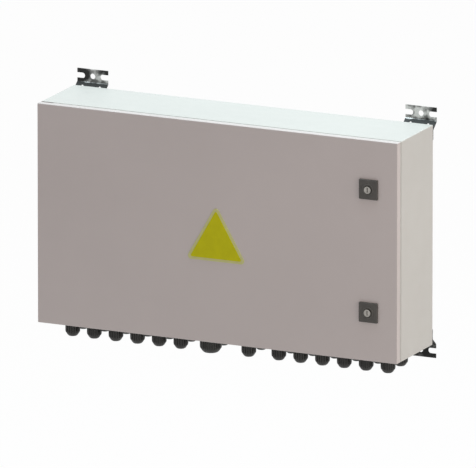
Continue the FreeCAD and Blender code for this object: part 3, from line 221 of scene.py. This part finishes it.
def screw_zinc():
    """Clean zinc on small turned screws and clamps, a little dulled here and there."""
    bright = screen(186, 187, 186)
    finish = Finish("screw_zinc", metallic=1.0)
    finish.base(finish.colours(finish.noise(260.0, 4.0), (0.3, shade(bright, 0.7)), (0.65, bright)))
    finish.roughness(finish.spread(finish.noise(420.0), 0.28, 0.44))
    finish.bumps((finish.noise(2000.0, 2.0), 0.1, 0.03))
    return finish.material


def galvanised():
    """Hot-dip zinc with a spangle of crystals, some duller than others."""
    light = screen(190, 193, 195)
    finish = Finish("galvanised", metallic=0.9)
    crystals = finish.cells(95.0, "Color")
    dark, dull = shade(light, 0.66), shade(light, 0.85)
    finish.base(finish.colours(crystals, (0.15, dark), (0.5, dull), (0.85, light)))
    finish.roughness(finish.spread(crystals, 0.34, 0.52, 0.2, 0.8))
    finish.bumps((finish.noise(300.0, 4.0), 0.1, 0.08))
    return finish.material


def moulded(name, colour, gloss=(0.38, 0.5), grain=0.18, scale=1400.0):
    """Moulded plastic with a fine spark-eroded grain, faint flow clouds and uneven gloss."""
    finish = Finish(name, specular_ior_level=0.45)
    cloud = finish.noise(28.0, 4.0)
    finish.base(finish.colours(cloud, (0.32, shade(colour, 0.93)), (0.68, shade(colour, 1.06))))
    finish.roughness(finish.spread(finish.noise(120.0), *gloss))
    finish.bumps((finish.noise(scale, 3.0), grain, 0.05), (finish.noise(180.0), 0.05, 0.1))
    return finish.material


def rubber():
    """Closed-cell rubber: dull, with open pores on the skin and paler rubbed patches."""
    black = screen(38, 37, 36)
    finish = Finish("rubber", specular_ior_level=0.25)
    finish.base(finish.colours(finish.noise(50.0, 5.0), (0.3, black), (0.75, shade(black, 1.7))))
    finish.roughness(finish.spread(finish.noise(200.0), 0.72, 0.9))
    finish.bumps((finish.cells(900.0), 0.3, 0.2))
    return finish.material


def cast_black():
    """Die-cast zinc alloy under a thin black coat that is worn paler in places."""
    black = screen(74, 70, 65)
    finish = Finish("cast_black", specular_ior_level=0.5)
    darker, worn = shade(black, 0.8), shade(black, 1.2)
    finish.base(finish.colours(finish.noise(70.0, 6.0), (0.3, darker), (0.72, worn)))
    finish.roughness(finish.spread(finish.noise(160.0), 0.36, 0.55))
    finish.bumps((finish.noise(1100.0, 3.0), 0.2, 0.08))
    return finish.material


def nickel():
    """Nickel-plated brass, finely turned."""
    bright = screen(164, 160, 154)
    finish = Finish("nickel", metallic=1.0)
    finish.base(finish.colours(finish.noise(180.0, 4.0), (0.3, shade(bright, 0.78)), (0.7, bright)))
    finish.roughness(finish.spread(finish.noise(420.0), 0.2, 0.36))
    finish.bumps((finish.noise(2400.0, 2.0), 0.1, 0.03))
    return finish.material


def copper():
    """Bare drawn copper: long fine draw marks, darker oxide clouds and finger-dulled gloss."""
    red = screen(206, 140, 104)
    finish = Finish("copper", metallic=1.0)
    cloud = finish.noise(26.0, 6.0)
    finish.base(finish.colours(cloud, (0.28, shade(red, 0.62)), (0.55, shade(red, 0.9)), (0.75, red)))
    finish.roughness(finish.spread(cloud, 0.42, 0.26))
    drawn = finish.noise(900.0, 2.0, finish.stretched((0.04, 1.0, 1.0)))
    finish.bumps((drawn, 0.14, 0.04))
    return finish.material


def enamel(name, yellow):
    """Satin enamel on a small sheet plate, very slightly uneven."""
    finish = Finish(name, specular_ior_level=0.2)
    darker, lighter = shade(yellow, 0.94), shade(yellow, 1.04)
    finish.base(finish.colours(finish.noise(60.0, 4.0), (0.3, darker), (0.7, lighter)))
    finish.roughness(finish.spread(finish.noise(300.0), 0.36, 0.5))
    finish.bumps((finish.noise(1300.0, 2.0), 0.12, 0.05))
    return finish.material


def ceramic():
    """Glazed white fuse tube with a faint speckle."""
    white = screen(228, 225, 216)
    finish = Finish("ceramic", specular_ior_level=0.5, coat_weight=0.4, coat_roughness=0.15)
    finish.base(finish.colours(finish.noise(800.0, 4.0), (0.35, shade(white, 0.93)), (0.6, white)))
    finish.roughness(finish.spread(finish.noise(300.0), 0.3, 0.42))
    finish.bumps((finish.noise(900.0, 2.0), 0.06, 0.04))
    return finish.material


def lens(name, colour):
    """Clear tinted plastic over an indicator."""
    finish = Finish(name, specular_ior_level=0.6, coat_weight=0.5, coat_roughness=0.08)
    finish.base(finish.colours(finish.noise(500.0), (0.3, shade(colour, 0.8)), (0.7, colour)))
    finish.roughness(finish.spread(finish.noise(700.0), 0.12, 0.22))
    finish.bumps((finish.noise(600.0), 0.04, 0.05))
    return finish.material


finishes = {
    "enclosure_paint": powder_coat("enclosure_paint", screen(203, 199, 192)),
    # The door's paint is the body's paint with a pinker tint, which is a painted tint of the light that falls
    # on the door's front.
    "door_paint": powder_coat("door_paint", screen(207, 196, 191)),
    "zinc_plate": zinc_plating(),
    "galvanised_sheet": galvanised(),
    "gland_nylon": moulded("gland_nylon", screen(40, 38, 35), (0.38, 0.52)),
    "rubber": rubber(),
    "lock_casting": cast_black(),
    "lock_metal": nickel(),
    "fuse_base_plastic": moulded("fuse_base_plastic", screen(186, 187, 183)),
    "fuse_carrier_plastic": moulded("fuse_carrier_plastic", screen(222, 219, 208), (0.34, 0.46)),
    "copper": copper(),
    "insulator_resin": moulded("insulator_resin", screen(150, 52, 38), (0.28, 0.4), 0.12),
    "breaker_plastic": moulded("breaker_plastic", screen(66, 68, 71), (0.42, 0.56), 0.26, 1100.0),
    "handle_plastic": moulded("handle_plastic", screen(30, 30, 31), (0.3, 0.42)),
    "surge_plastic": moulded("surge_plastic", screen(200, 201, 198)),
    "cartridge_plastic": moulded("cartridge_plastic", screen(176, 66, 40), (0.34, 0.46)),
    "monitor_plastic": moulded("monitor_plastic", screen(84, 90, 96), (0.42, 0.54), 0.24),
    "terminal_plastic": moulded("terminal_plastic", screen(146, 148, 146)),
}
yellow_enamel = enamel("yellow_enamel", screen(204, 198, 8))
pale_enamel = enamel("pale_enamel", screen(209, 206, 142))
clean_zinc = screw_zinc()
lug_plating = lug_zinc()
fuse_ceramic = ceramic()
green_lens = lens("green_lens", screen(60, 150, 70))
dark_lens = lens("dark_lens", screen(24, 28, 34))
red_lens = lens("red_lens", screen(170, 40, 34))
white_print = moulded("white_print", screen(232, 231, 226), (0.45, 0.6), 0.06)


def dress_frame():
    """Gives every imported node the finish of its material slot, and the wall lugs one of their own."""
    for key, node in frame["nodes"].items():
        for place in node.material_slots:
            name = place.material.name.split(".")[0]
            place.material = lug_plating if key.startswith("mounting_lug") else finishes[name]


# Places

def middle_of(node):
    """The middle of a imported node's box, in millimetres."""
    low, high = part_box(node)
    return (low + high) / 2 / MM


def front_of(node):
    """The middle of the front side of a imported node's box, in millimetres."""
    middle = middle_of(node)
    return Vector((middle.x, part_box(node)[0].y / MM, middle.z))


def beside(front, x, z, seat=SEAT):
    """A place on a face, x to the right of its middle and z above it, and let in by seat."""
    return front + Vector((x, seat, z))


def pitched(middle, pitch, count):
    """Evenly spaced values about a middle."""
    return [middle + pitch * (k - (count - 1) / 2) for k in range(count)]


# Mesh helpers

def across_and_up(forward):
    """Two directions square to forward and to each other."""
    across = UP.cross(forward) if abs(forward.z) < 0.9 else RIGHT
    return across.normalized(), forward.cross(across.normalized()).normalized()


def loft(work, loops):
    """A closed solid through loops of points, one after another."""
    rings = [[work.verts.new(point) for point in loop] for loop in loops]
    for first, second in zip(rings, rings[1:]):
        for i in range(len(first)):
            j = (i + 1) % len(first)
            work.faces.new((first[i], first[j], second[j], second[i]))
    work.faces.new(rings[-1])
    work.faces.new(list(reversed(rings[0])))


def joined(work, rings):
    """Faces between rings of corners, from each ring to the next and from the last to the first."""
    for i, ring in enumerate(rings):
        follow = rings[(i + 1) % len(rings)]
        for k in range(len(ring)):
            j = (k + 1) % len(ring)
            corners = list(dict.fromkeys((ring[k], ring[j], follow[j], follow[k])))
            if len(corners) > 2:
                work.faces.new(corners)


def lathe(work, profile, centre, forward, steps=32):
    """Turns a closed loop of (radius, distance along forward) about the line through centre."""
    across, up = across_and_up(forward)
    rings = []
    for radius, along in profile:
        middle = centre + forward * along
        if radius == 0:
            rings.append([work.verts.new(middle)] * steps)
            continue
        turns = [2 * math.pi * k / steps for k in range(steps)]
        ring = [middle + (across * math.cos(a) + up * math.sin(a)) * radius for a in turns]
        rings.append([work.verts.new(point) for point in ring])
    joined(work, rings)


def plate(work, middle, width, height, thickness):
    """A flat block standing on a face, its middle on that face."""
    back = [middle + RIGHT * (width / 2 * a) + UP * (height / 2 * b) for a, b in SQUARE]
    loft(work, [back, [corner + FORWARD * thickness for corner in back]])


def slotted_head(work, base, radius, height, turn):
    """A round screw head with a chamfered rim and a slot across it, turned by an angle."""
    slot_half, slot_deep, chamfer = radius * 0.16, height * 0.45, radius * 0.14
    disc_steps, half_steps = 20, 10
    slot_floor = height - slot_deep
    disc = [(0, 0), (radius, 0), (radius, slot_floor), (0, slot_floor)]
    lathe(work, disc, base, FORWARD, disc_steps)
    along = RIGHT * math.cos(turn) + UP * math.sin(turn)
    over = FORWARD.cross(along)
    edge = math.asin(slot_half / radius)
    angles = [edge + (math.pi - 2 * edge) * k / half_steps for k in range(half_steps + 1)]
    foot_painted_reflection = [along * math.cos(a) + over * math.sin(a) for a in angles]
    crown = [along * math.cos(a) + over * max(math.sin(a), edge) for a in angles]
    for side in (1, -1):
        low = [base + FORWARD * slot_floor + spoke * (radius * side) for spoke in foot_painted_reflection]
        high = [base + FORWARD * height + spoke * ((radius - chamfer) * side) for spoke in crown]
        loft(work, [low, high])


def piece(name, build, slot, body="enclosure", finish=None, bevel=0.0):
    """A new visible piece: build fills its mesh, and it takes a finish and rides on a body."""
    work = bmesh.new()
    build(work)
    bmesh.ops.recalc_face_normals(work, faces=work.faces)
    bmesh.ops.scale(work, vec=(MM, MM, MM), verts=work.verts)
    mesh = bpy.data.meshes.new(name)
    work.to_mesh(mesh)
    work.free()
    mesh.polygons.foreach_set("use_smooth", [True] * len(mesh.polygons))
    mesh.set_sharp_from_angle(angle=SHARP_ANGLE)
    mesh.materials.append(finish or finishes[slot])
    made = bpy.data.objects.new(name, mesh)
    bpy.context.scene.collection.objects.link(made)
    if bevel:
        edges = made.modifiers.new("edges", "BEVEL")
        edges.width = bevel * MM
        edges.segments = 2
        edges.limit_method = "ANGLE"
    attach(made, body)


# Cable glands and rim

def grip_ribs(name, node, mount_start, radius, count, dome, fade):
    """Moulded ribs down the round walls of gland caps, whose noses point down.

    The nose is domed over a height of dome, and the ribs fade out on it within fade.
    """
    low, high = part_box(node)
    top, start = high.z / MM, low.z / MM + dome
    root, proud, foot_half, crest_half = -1.2, 1.15, 1.55, 1.0
    lead, lead_crest, end_crest = 1.2, 0.2, -0.55
    bend_down, bend_crest = 0.6 * fade, 0.62 * proud
    rows = [
        (top - lead, lead_crest),
        (top - 2 * lead, proud),
        (start, proud),
        (start - bend_down, bend_crest),
        (start - fade, end_crest),
    ]
    glands = [mount["pos_m"] for mount in record["mounts"] if mount["name"].startswith(mount_start)]

    def rib(x, y, angle):
        out = Vector((math.cos(angle), math.sin(angle), 0))
        side = Vector((-out.y, out.x, 0))
        for level, crest in rows:
            axis = Vector((x / MM, y / MM, level))
            section = [(root, -foot_half), (root, foot_half), (crest, crest_half), (crest, -crest_half)]
            yield [axis + out * (radius + r) + side * s for r, s in section]

    def build(work):
        for x, y, _ in glands:
            for k in range(count):
                loft(work, list(rib(x, y, 2 * math.pi * (k + 0.5) / count)))

    piece(name, build, "gland_nylon")


def rim_beads():
    """A painted bead along the front of the body's rim, at the top, the right and the bottom."""
    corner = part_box("enclosure_shell")[1] / MM
    edge_gap, left, rim = 0.6, -326.0, -150.0
    wide, proud, seat, end_gap = 3.6, 2.5, 0.3, 0.05
    right, top = corner.x - edge_gap, corner.z - edge_gap
    upright = 2 * (top - wide - end_gap)

    def build(work):
        bars = [
            ((left + right) / 2, top - wide / 2, right - left, wide),
            ((left + right) / 2, wide / 2 - top, right - left, wide),
            (right - wide / 2, 0, wide, upright),
        ]
        for x, z, width, height in bars:
            plate(work, Vector((x, rim + seat, z)), width, height, proud + seat)

    piece("rim_beads", build, "enclosure_paint", bevel=0.5)


# Locks and devices

def lock_rings():
    """A round-topped raised ring on each lock plate, round the key barrel."""
    section = [
        (7.2, -0.3), (7.2, 0.5), (7.6, 0.95), (8.4, 1.2), (9.6, 1.2), (10.5, 0.95), (11, 0.4), (11, -0.3),
    ]

    def build(work):
        for node in ("upper_lock_housing", "lower_lock_housing"):
            lathe(work, section, front_of(node), FORWARD, steps=40)

    piece("lock_rings", build, "lock_casting", "door")


def screws(name, spots, radius, height):
    """Slotted screw heads at (x, y, z) spots, each turned another way."""
    turn_step = 2.4

    def build(work):
        for k, spot in enumerate(spots):
            slotted_head(work, Vector(spot), radius, height, turn_step * k)

    piece(name, build, "zinc_plate", finish=clean_zinc)


def well_screws(name, node, columns, apart, depth, radius, height):
    """Screws seated at a depth in a device's wells, in an upper and a lower row some way apart."""
    level = middle_of(node).z
    rows = (level + apart / 2, level - apart / 2)
    screws(name, [(x, depth, z) for x in columns for z in rows], radius, height)


def terminal_screws():
    """The clamping screws down the wells of the rail-mounted devices, and those of the earth bar."""
    holders = [middle_of(f"fuse_carrier_{number:02d}").x for number in CARRIERS]
    poles = [x for holder in holders for x in pitched(holder, pitch=18, count=2)]
    well_screws("fuse_terminal_screws", "positive_fuse_bases", poles,
                apart=65, depth=-55, radius=2.9, height=2.2)
    modules = pitched(middle_of("surge_protector_base").x, pitch=18, count=3)
    well_screws("surge_terminal_screws", "surge_protector_base", modules,
                apart=75, depth=-65, radius=2.7, height=2.2)
    wires = pitched(middle_of("monitor_unit").x, pitch=9, count=7)
    well_screws("monitor_terminal_screws", "monitor_unit", wires,
                apart=70.5, depth=-61, radius=1.8, height=1.6)
    blocks = pitched(middle_of("terminal_blocks").x, pitch=6.2, count=8)
    well_screws("signal_terminal_screws", "terminal_blocks", blocks,
                apart=34, depth=-59, radius=1.45, height=1.4)
    bar = front_of("earth_bar")
    holes = pitched(bar.x, pitch=12, count=8)
    screws("earth_bar_screws", [(x, bar.y, bar.z) for x in holes], radius=3.6, height=2.4)


def breaker_clamps():
    """A clamp plate in each free well of the breaker, and a screw in every well."""
    middle = middle_of("breaker_case")
    well_reach, clamp_back, clamp_thick = 70.5, -44.3, 3.2
    bar_front, bar_screw_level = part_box("positive_busbar")[0].y / MM, 98
    poles = pitched(middle.x, pitch=26.25, count=4)
    free = [(x, middle.z + well_reach) for x in poles[1:3]]
    free += [(x, middle.z - well_reach) for x in poles]

    def build(work):
        for x, z in free:
            plate(work, Vector((x, clamp_back, z)), width=16, height=17, thickness=clamp_thick)

    piece("breaker_clamp_plates", build, "zinc_plate", finish=clean_zinc, bevel=0.4)
    spots = [(x, clamp_back - clamp_thick, z) for x, z in free]
    spots += [(x, bar_front, bar_screw_level) for x in (poles[0], poles[3])]
    screws("breaker_clamp_screws", spots, radius=4.2, height=3)


def breaker_front():
    """A raised frame round the toggle, with a bar for on above it and a ring for off below it."""
    nose = front_of("breaker_case")
    outer, inner, proud = (18, 20), (13.5, 14.5), 1.2
    stages = [(SEAT, outer), (-proud, outer), (-proud, inner), (SEAT, inner)]
    mark_level, mark_seat, mark_thick = 27, 0.1, 0.4
    ring_inner, ring_outer = 2.3, 3.6

    def frame_build(work):
        rings = []
        for seat, (half_width, half_height) in stages:
            corners = [beside(nose, half_width * a, half_height * b, seat) for a, b in SQUARE]
            rings.append([work.verts.new(corner) for corner in corners])
        joined(work, rings)

    def mark_build(work):
        plate(work, beside(nose, 0, mark_level, mark_seat), width=1.8, height=7, thickness=mark_thick)
        ring = [(ring_inner, 0), (ring_inner, mark_thick), (ring_outer, mark_thick), (ring_outer, 0)]
        lathe(work, ring, beside(nose, 0, -mark_level, mark_seat), FORWARD)

    piece("breaker_toggle_frame", frame_build, "handle_plastic", bevel=0.4)
    piece("breaker_on_off_marks", mark_build, "breaker_plastic", finish=white_print)


def surge_windows():
    """A green state window and two pairs of pull ridges on the front of each surge cartridge."""
    front = front_of("surge_cartridges")
    middles = [Vector((x, front.y, front.z)) for x in pitched(front.x, pitch=18, count=3)]
    window_level, ridge_levels = 8, (14.5, 16.5, -14.5, -16.5)

    def window_build(work):
        for middle in middles:
            plate(work, beside(middle, 0, window_level), width=6, height=4, thickness=0.6)

    def ridge_build(work):
        for middle in middles:
            for level in ridge_levels:
                plate(work, beside(middle, 0, level), width=12, height=0.9, thickness=0.9)

    piece("surge_state_windows", window_build, "cartridge_plastic", finish=green_lens, bevel=0.2)
    piece("surge_pull_ridges", ridge_build, "cartridge_plastic", bevel=0.2)


def monitor_front():
    """A dark display in a frame, three domed indicators and four round keys on the monitor's nose."""
    nose = front_of("monitor_unit")
    across, level, width, height, border = -9, 6, 42, 22, 2
    side, end = (width + border) / 2, (height + border) / 2
    glass_thick, frame_thick = 0.9, 1.6
    lamp_across, key_level = 24, -14
    lamp = [(0, 0), (1.8, 0), (1.7, 0.8), (1.1, 1.6), (0, 1.9)]
    key = [(0, 0), (2.8, 0), (2.8, 0.9), (2.3, 1.3), (0, 1.3)]

    def display_build(work):
        plate(work, beside(nose, across, level), width, height, glass_thick)

    def frame_build(work):
        for z in (end, -end):
            plate(work, beside(nose, across, level + z), width + 2 * border, border, frame_thick)
        for x in (-side, side):
            plate(work, beside(nose, across + x, level), border, height, frame_thick)

    def lamp_build(work):
        for z in pitched(level, pitch=-8, count=3):
            lathe(work, lamp, beside(nose, lamp_across, z), FORWARD, steps=24)

    def key_build(work):
        for x in pitched(across, pitch=10, count=4):
            lathe(work, key, beside(nose, x, key_level), FORWARD, steps=28)

    piece("monitor_display", display_build, "monitor_plastic", finish=dark_lens, bevel=0.2)
    piece("monitor_display_frame", frame_build, "handle_plastic", bevel=0.3)
    piece("monitor_indicators", lamp_build, "monitor_plastic", finish=green_lens)
    piece("monitor_keys", key_build, "insulator_resin")


# Fuse carriers

def carrier_trim(number):
    """A carrier's ceramic tubes with metal ends, grip ridges, indicator and bare write-on plate."""
    front = front_of(f"fuse_carrier_{number:02d}")
    body = f"fuse_carrier_{number:02d}_swing"
    link_depth, link_level = -64, -22
    links = [Vector((x, link_depth, link_level)) for x in pitched(front.x, pitch=15.6, count=2)]
    link_length, tube_length, cap_length = 28.6, 18, 6
    tube = [(0, 0), (5.3, 0), (5.3, tube_length), (0, tube_length)]
    cap = [(0, 0), (5.5, 0), (5.6, 0.3), (5.6, 5.7), (5.5, cap_length), (0, cap_length)]
    ridge_level, ridge_deep, ridge_proud = -8, 2.4, 0.7
    face_depth, face_level = -82, -25
    face = Vector((front.x, face_depth, face_level))
    lamp = [(0, 0), (1.6, 0), (1.5, 0.7), (0.9, 1.2), (0, 1.4)]

    def tube_build(work):
        for link in links:
            lathe(work, tube, link - UP * (tube_length / 2), UP)

    def cap_build(work):
        for link in links:
            for start in (-link_length / 2, link_length / 2 - cap_length):
                lathe(work, cap, link + UP * start, UP)

    def ridge_build(work):
        for level in pitched(ridge_level, pitch=2.5, count=3):
            foot_painted_reflection = Vector((front.x, front.y + ridge_deep - ridge_proud, level))
            plate(work, foot_painted_reflection, width=20, height=1.1, thickness=ridge_deep)

    def label_build(work):
        plate(work, beside(face, -3, 0), width=17, height=7, thickness=0.5)

    def lamp_build(work):
        lathe(work, lamp, beside(face, 10, 0), FORWARD, steps=20)

    plastic = "fuse_carrier_plastic"
    piece(f"fuse_tubes_{number:02d}", tube_build, plastic, body, fuse_ceramic)
    piece(f"fuse_caps_{number:02d}", cap_build, "lock_metal", body)
    piece(f"carrier_ridges_{number:02d}", ridge_build, plastic, body, bevel=0.25)
    piece(f"carrier_label_{number:02d}", label_build, plastic, body, white_print, bevel=0.15)
    piece(f"carrier_lamp_{number:02d}", lamp_build, plastic, body, red_lens)


# Bare plate on the door

def rounded_triangle(side, corner):
    """A function that gives the outline of a three-cornered plate on the door, moved in by an inset."""
    points_up, across, level = math.radians(90), -1, -17.1
    corner_sweep, corner_steps = math.radians(120), 8
    centre = Vector((across, front_of("door_panel").y, level))
    reach = side / math.sqrt(3) - 2 * corner

    def spoke(angle):
        return RIGHT * math.cos(angle) + UP * math.sin(angle)

    def loop(inset):
        points = []
        for k in range(3):
            direction = points_up + 2 * math.pi * k / 3
            bend = centre + spoke(direction) * reach
            for step in range(corner_steps + 1):
                angle = direction + corner_sweep * (step / corner_steps - 0.5)
                points.append(bend + spoke(angle) * (corner - inset))
        return points

    return loop


def stepped_plate(name, loop, rows, finish):
    """A plate on the door through outlines, each (inset, how far it stands proud)."""
    def build(work):
        loft(work, [[point + FORWARD * proud for point in loop(inset)] for inset, proud in rows])

    piece(name, build, "door_paint", "door", finish)


def triangle_plate():
    """A bare three-cornered plate with a pale margin and a raised yellow field, on the middle of the door."""
    margin = [(0, 0), (0, 0.7), (0.4, 1.0)]
    field = [(0, 0.8), (0, 1.5), (0.4, 1.8)]
    stepped_plate("bare_triangle_plate", rounded_triangle(side=118, corner=6), margin, pale_enamel)
    stepped_plate("bare_triangle_field", rounded_triangle(side=101, corner=2.4), field, yellow_enamel)


# Stage

def camera():
    """A long lens at the photograph's viewing angle; at this range it is all but a parallel view."""
    azimuth, elevation = math.radians(25), math.radians(14.28)
    target = Vector((0.0413, -0.1665, 0.0033))
    frame_width = 0.8387
    lens_length, sensor = 1500, 36
    distance = frame_width * lens_length / sensor
    back = Vector((
        math.sin(azimuth) * math.cos(elevation),
        -math.cos(azimuth) * math.cos(elevation),
        math.sin(elevation),
    ))
    data = bpy.data.cameras.new("camera")
    data.lens = lens_length
    data.sensor_width = sensor
    data.clip_start, data.clip_end = 1, 100
    made = bpy.data.objects.new("camera", data)
    made.location = target + back * distance
    made.rotation_mode = "QUATERNION"
    made.rotation_quaternion = (-back).to_track_quat("-Z", "Y")
    bpy.context.scene.collection.objects.link(made)
    bpy.context.scene.camera = made


def soft_lamp(name, place, target, size, watts, colour):
    """A rectangular lamp at a place, turned to a target."""
    data = bpy.data.lights.new(name, "AREA")
    data.shape = "RECTANGLE"
    data.size, data.size_y = size
    data.energy = watts
    data.color = colour
    lamp = bpy.data.objects.new(name, data)
    lamp.location = place
    aim = Vector(target) - Vector(place)
    lamp.rotation_mode = "QUATERNION"
    lamp.rotation_quaternion = aim.to_track_quat("-Z", "Y")
    bpy.context.scene.collection.objects.link(lamp)


def studio_rays(tree):
    """1 for the rays that show the background: seen directly, in a reflection or through glass."""
    path = tree.nodes.new("ShaderNodeLightPath")
    total = path.outputs["Is Camera Ray"]
    for kind in ("Is Glossy Ray", "Is Transmission Ray"):
        largest = tree.nodes.new("ShaderNodeMath")
        largest.operation = "MAXIMUM"
        tree.links.new(total, largest.inputs[0])
        tree.links.new(path.outputs[kind], largest.inputs[1])
        total = largest.outputs[0]
    return total


def mixed(tree, share, first, second):
    """A shader between two others: the first where the share is 0, and the second where it is 1."""
    mix = tree.nodes.new("ShaderNodeMixShader")
    tree.links.new(share, mix.inputs["Fac"])
    tree.links.new(first, mix.inputs[1])
    tree.links.new(second, mix.inputs[2])
    return mix.outputs[0]


def surroundings(strength, tint):
    """A world that looks white and lights the object only softly, with a slight tint."""
    world = bpy.data.worlds.new("studio")
    bpy.context.scene.world = world
    world.use_nodes = True
    tree = world.node_tree
    background = tree.nodes["Background"]
    background.inputs["Color"].default_value = tint
    background.inputs["Strength"].default_value = strength
    shown = tree.nodes.new("ShaderNodeBackground")
    shown.inputs["Color"].default_value = (1, 1, 1, 1)
    seen = mixed(tree, studio_rays(tree), background.outputs[0], shown.outputs[0])
    tree.links.new(seen, tree.nodes["World Output"].inputs["Surface"])


def floor(level, size, white, dullness, glow_share):
    """A plain white floor well under the box, which hangs on a wall; it keeps the box's shadow."""
    mesh = bpy.data.meshes.new("floor")
    work = bmesh.new()
    bmesh.ops.create_grid(work, x_segments=2, y_segments=2, size=size)
    bmesh.ops.translate(work, verts=work.verts, vec=(0, 0, level))
    work.to_mesh(mesh)
    work.free()
    material = bpy.data.materials.new("floor")
    material.use_nodes = True
    tree = material.node_tree
    matt = tree.nodes["Principled BSDF"]
    matt.inputs["Base Color"].default_value = white
    matt.inputs["Roughness"].default_value = dullness
    glow = tree.nodes.new("ShaderNodeEmission")
    share = tree.nodes.new("ShaderNodeMath")
    share.operation = "MULTIPLY"
    share.inputs[1].default_value = glow_share
    tree.links.new(studio_rays(tree), share.inputs[0])
    seen = mixed(tree, share.outputs[0], matt.outputs[0], glow.outputs[0])
    tree.links.new(seen, tree.nodes["Material Output"].inputs["Surface"])
    mesh.materials.append(material)
    made = bpy.data.objects.new("floor", mesh)
    bpy.context.scene.collection.objects.link(made)


dress_frame()
grip_ribs("string_gland_ribs", "string_gland_caps", "string_gland", radius=12, count=20, dome=9.6, fade=4.2)
grip_ribs("output_gland_ribs", "output_gland_cap", "output_gland", radius=18.5, count=30, dome=11.4, fade=5.2)
rim_beads()
lock_rings()
terminal_screws()
breaker_clamps()
breaker_front()
surge_windows()
monitor_front()
for carrier in CARRIERS:
    carrier_trim(carrier)
triangle_plate()
camera()
surroundings(strength=0.4, tint=(1.0, 0.93, 0.95, 1))
floor(level=-0.9, size=14.0, white=(0.86, 0.86, 0.85, 1), dullness=0.9, glow_share=0.97)
soft_lamp("overhead", place=(0.1, 0.25, 2.2), target=(0, -0.05, 0), size=(2.6, 2.0), watts=68,
          colour=(0.745, 0.925, 1.0))
soft_lamp("right_fill", place=(2.4, -0.55, 0.4), target=(0.3, -0.1, 0), size=(1.6, 1.8), watts=17.5,
          colour=(1.0, 0.93, 0.86))
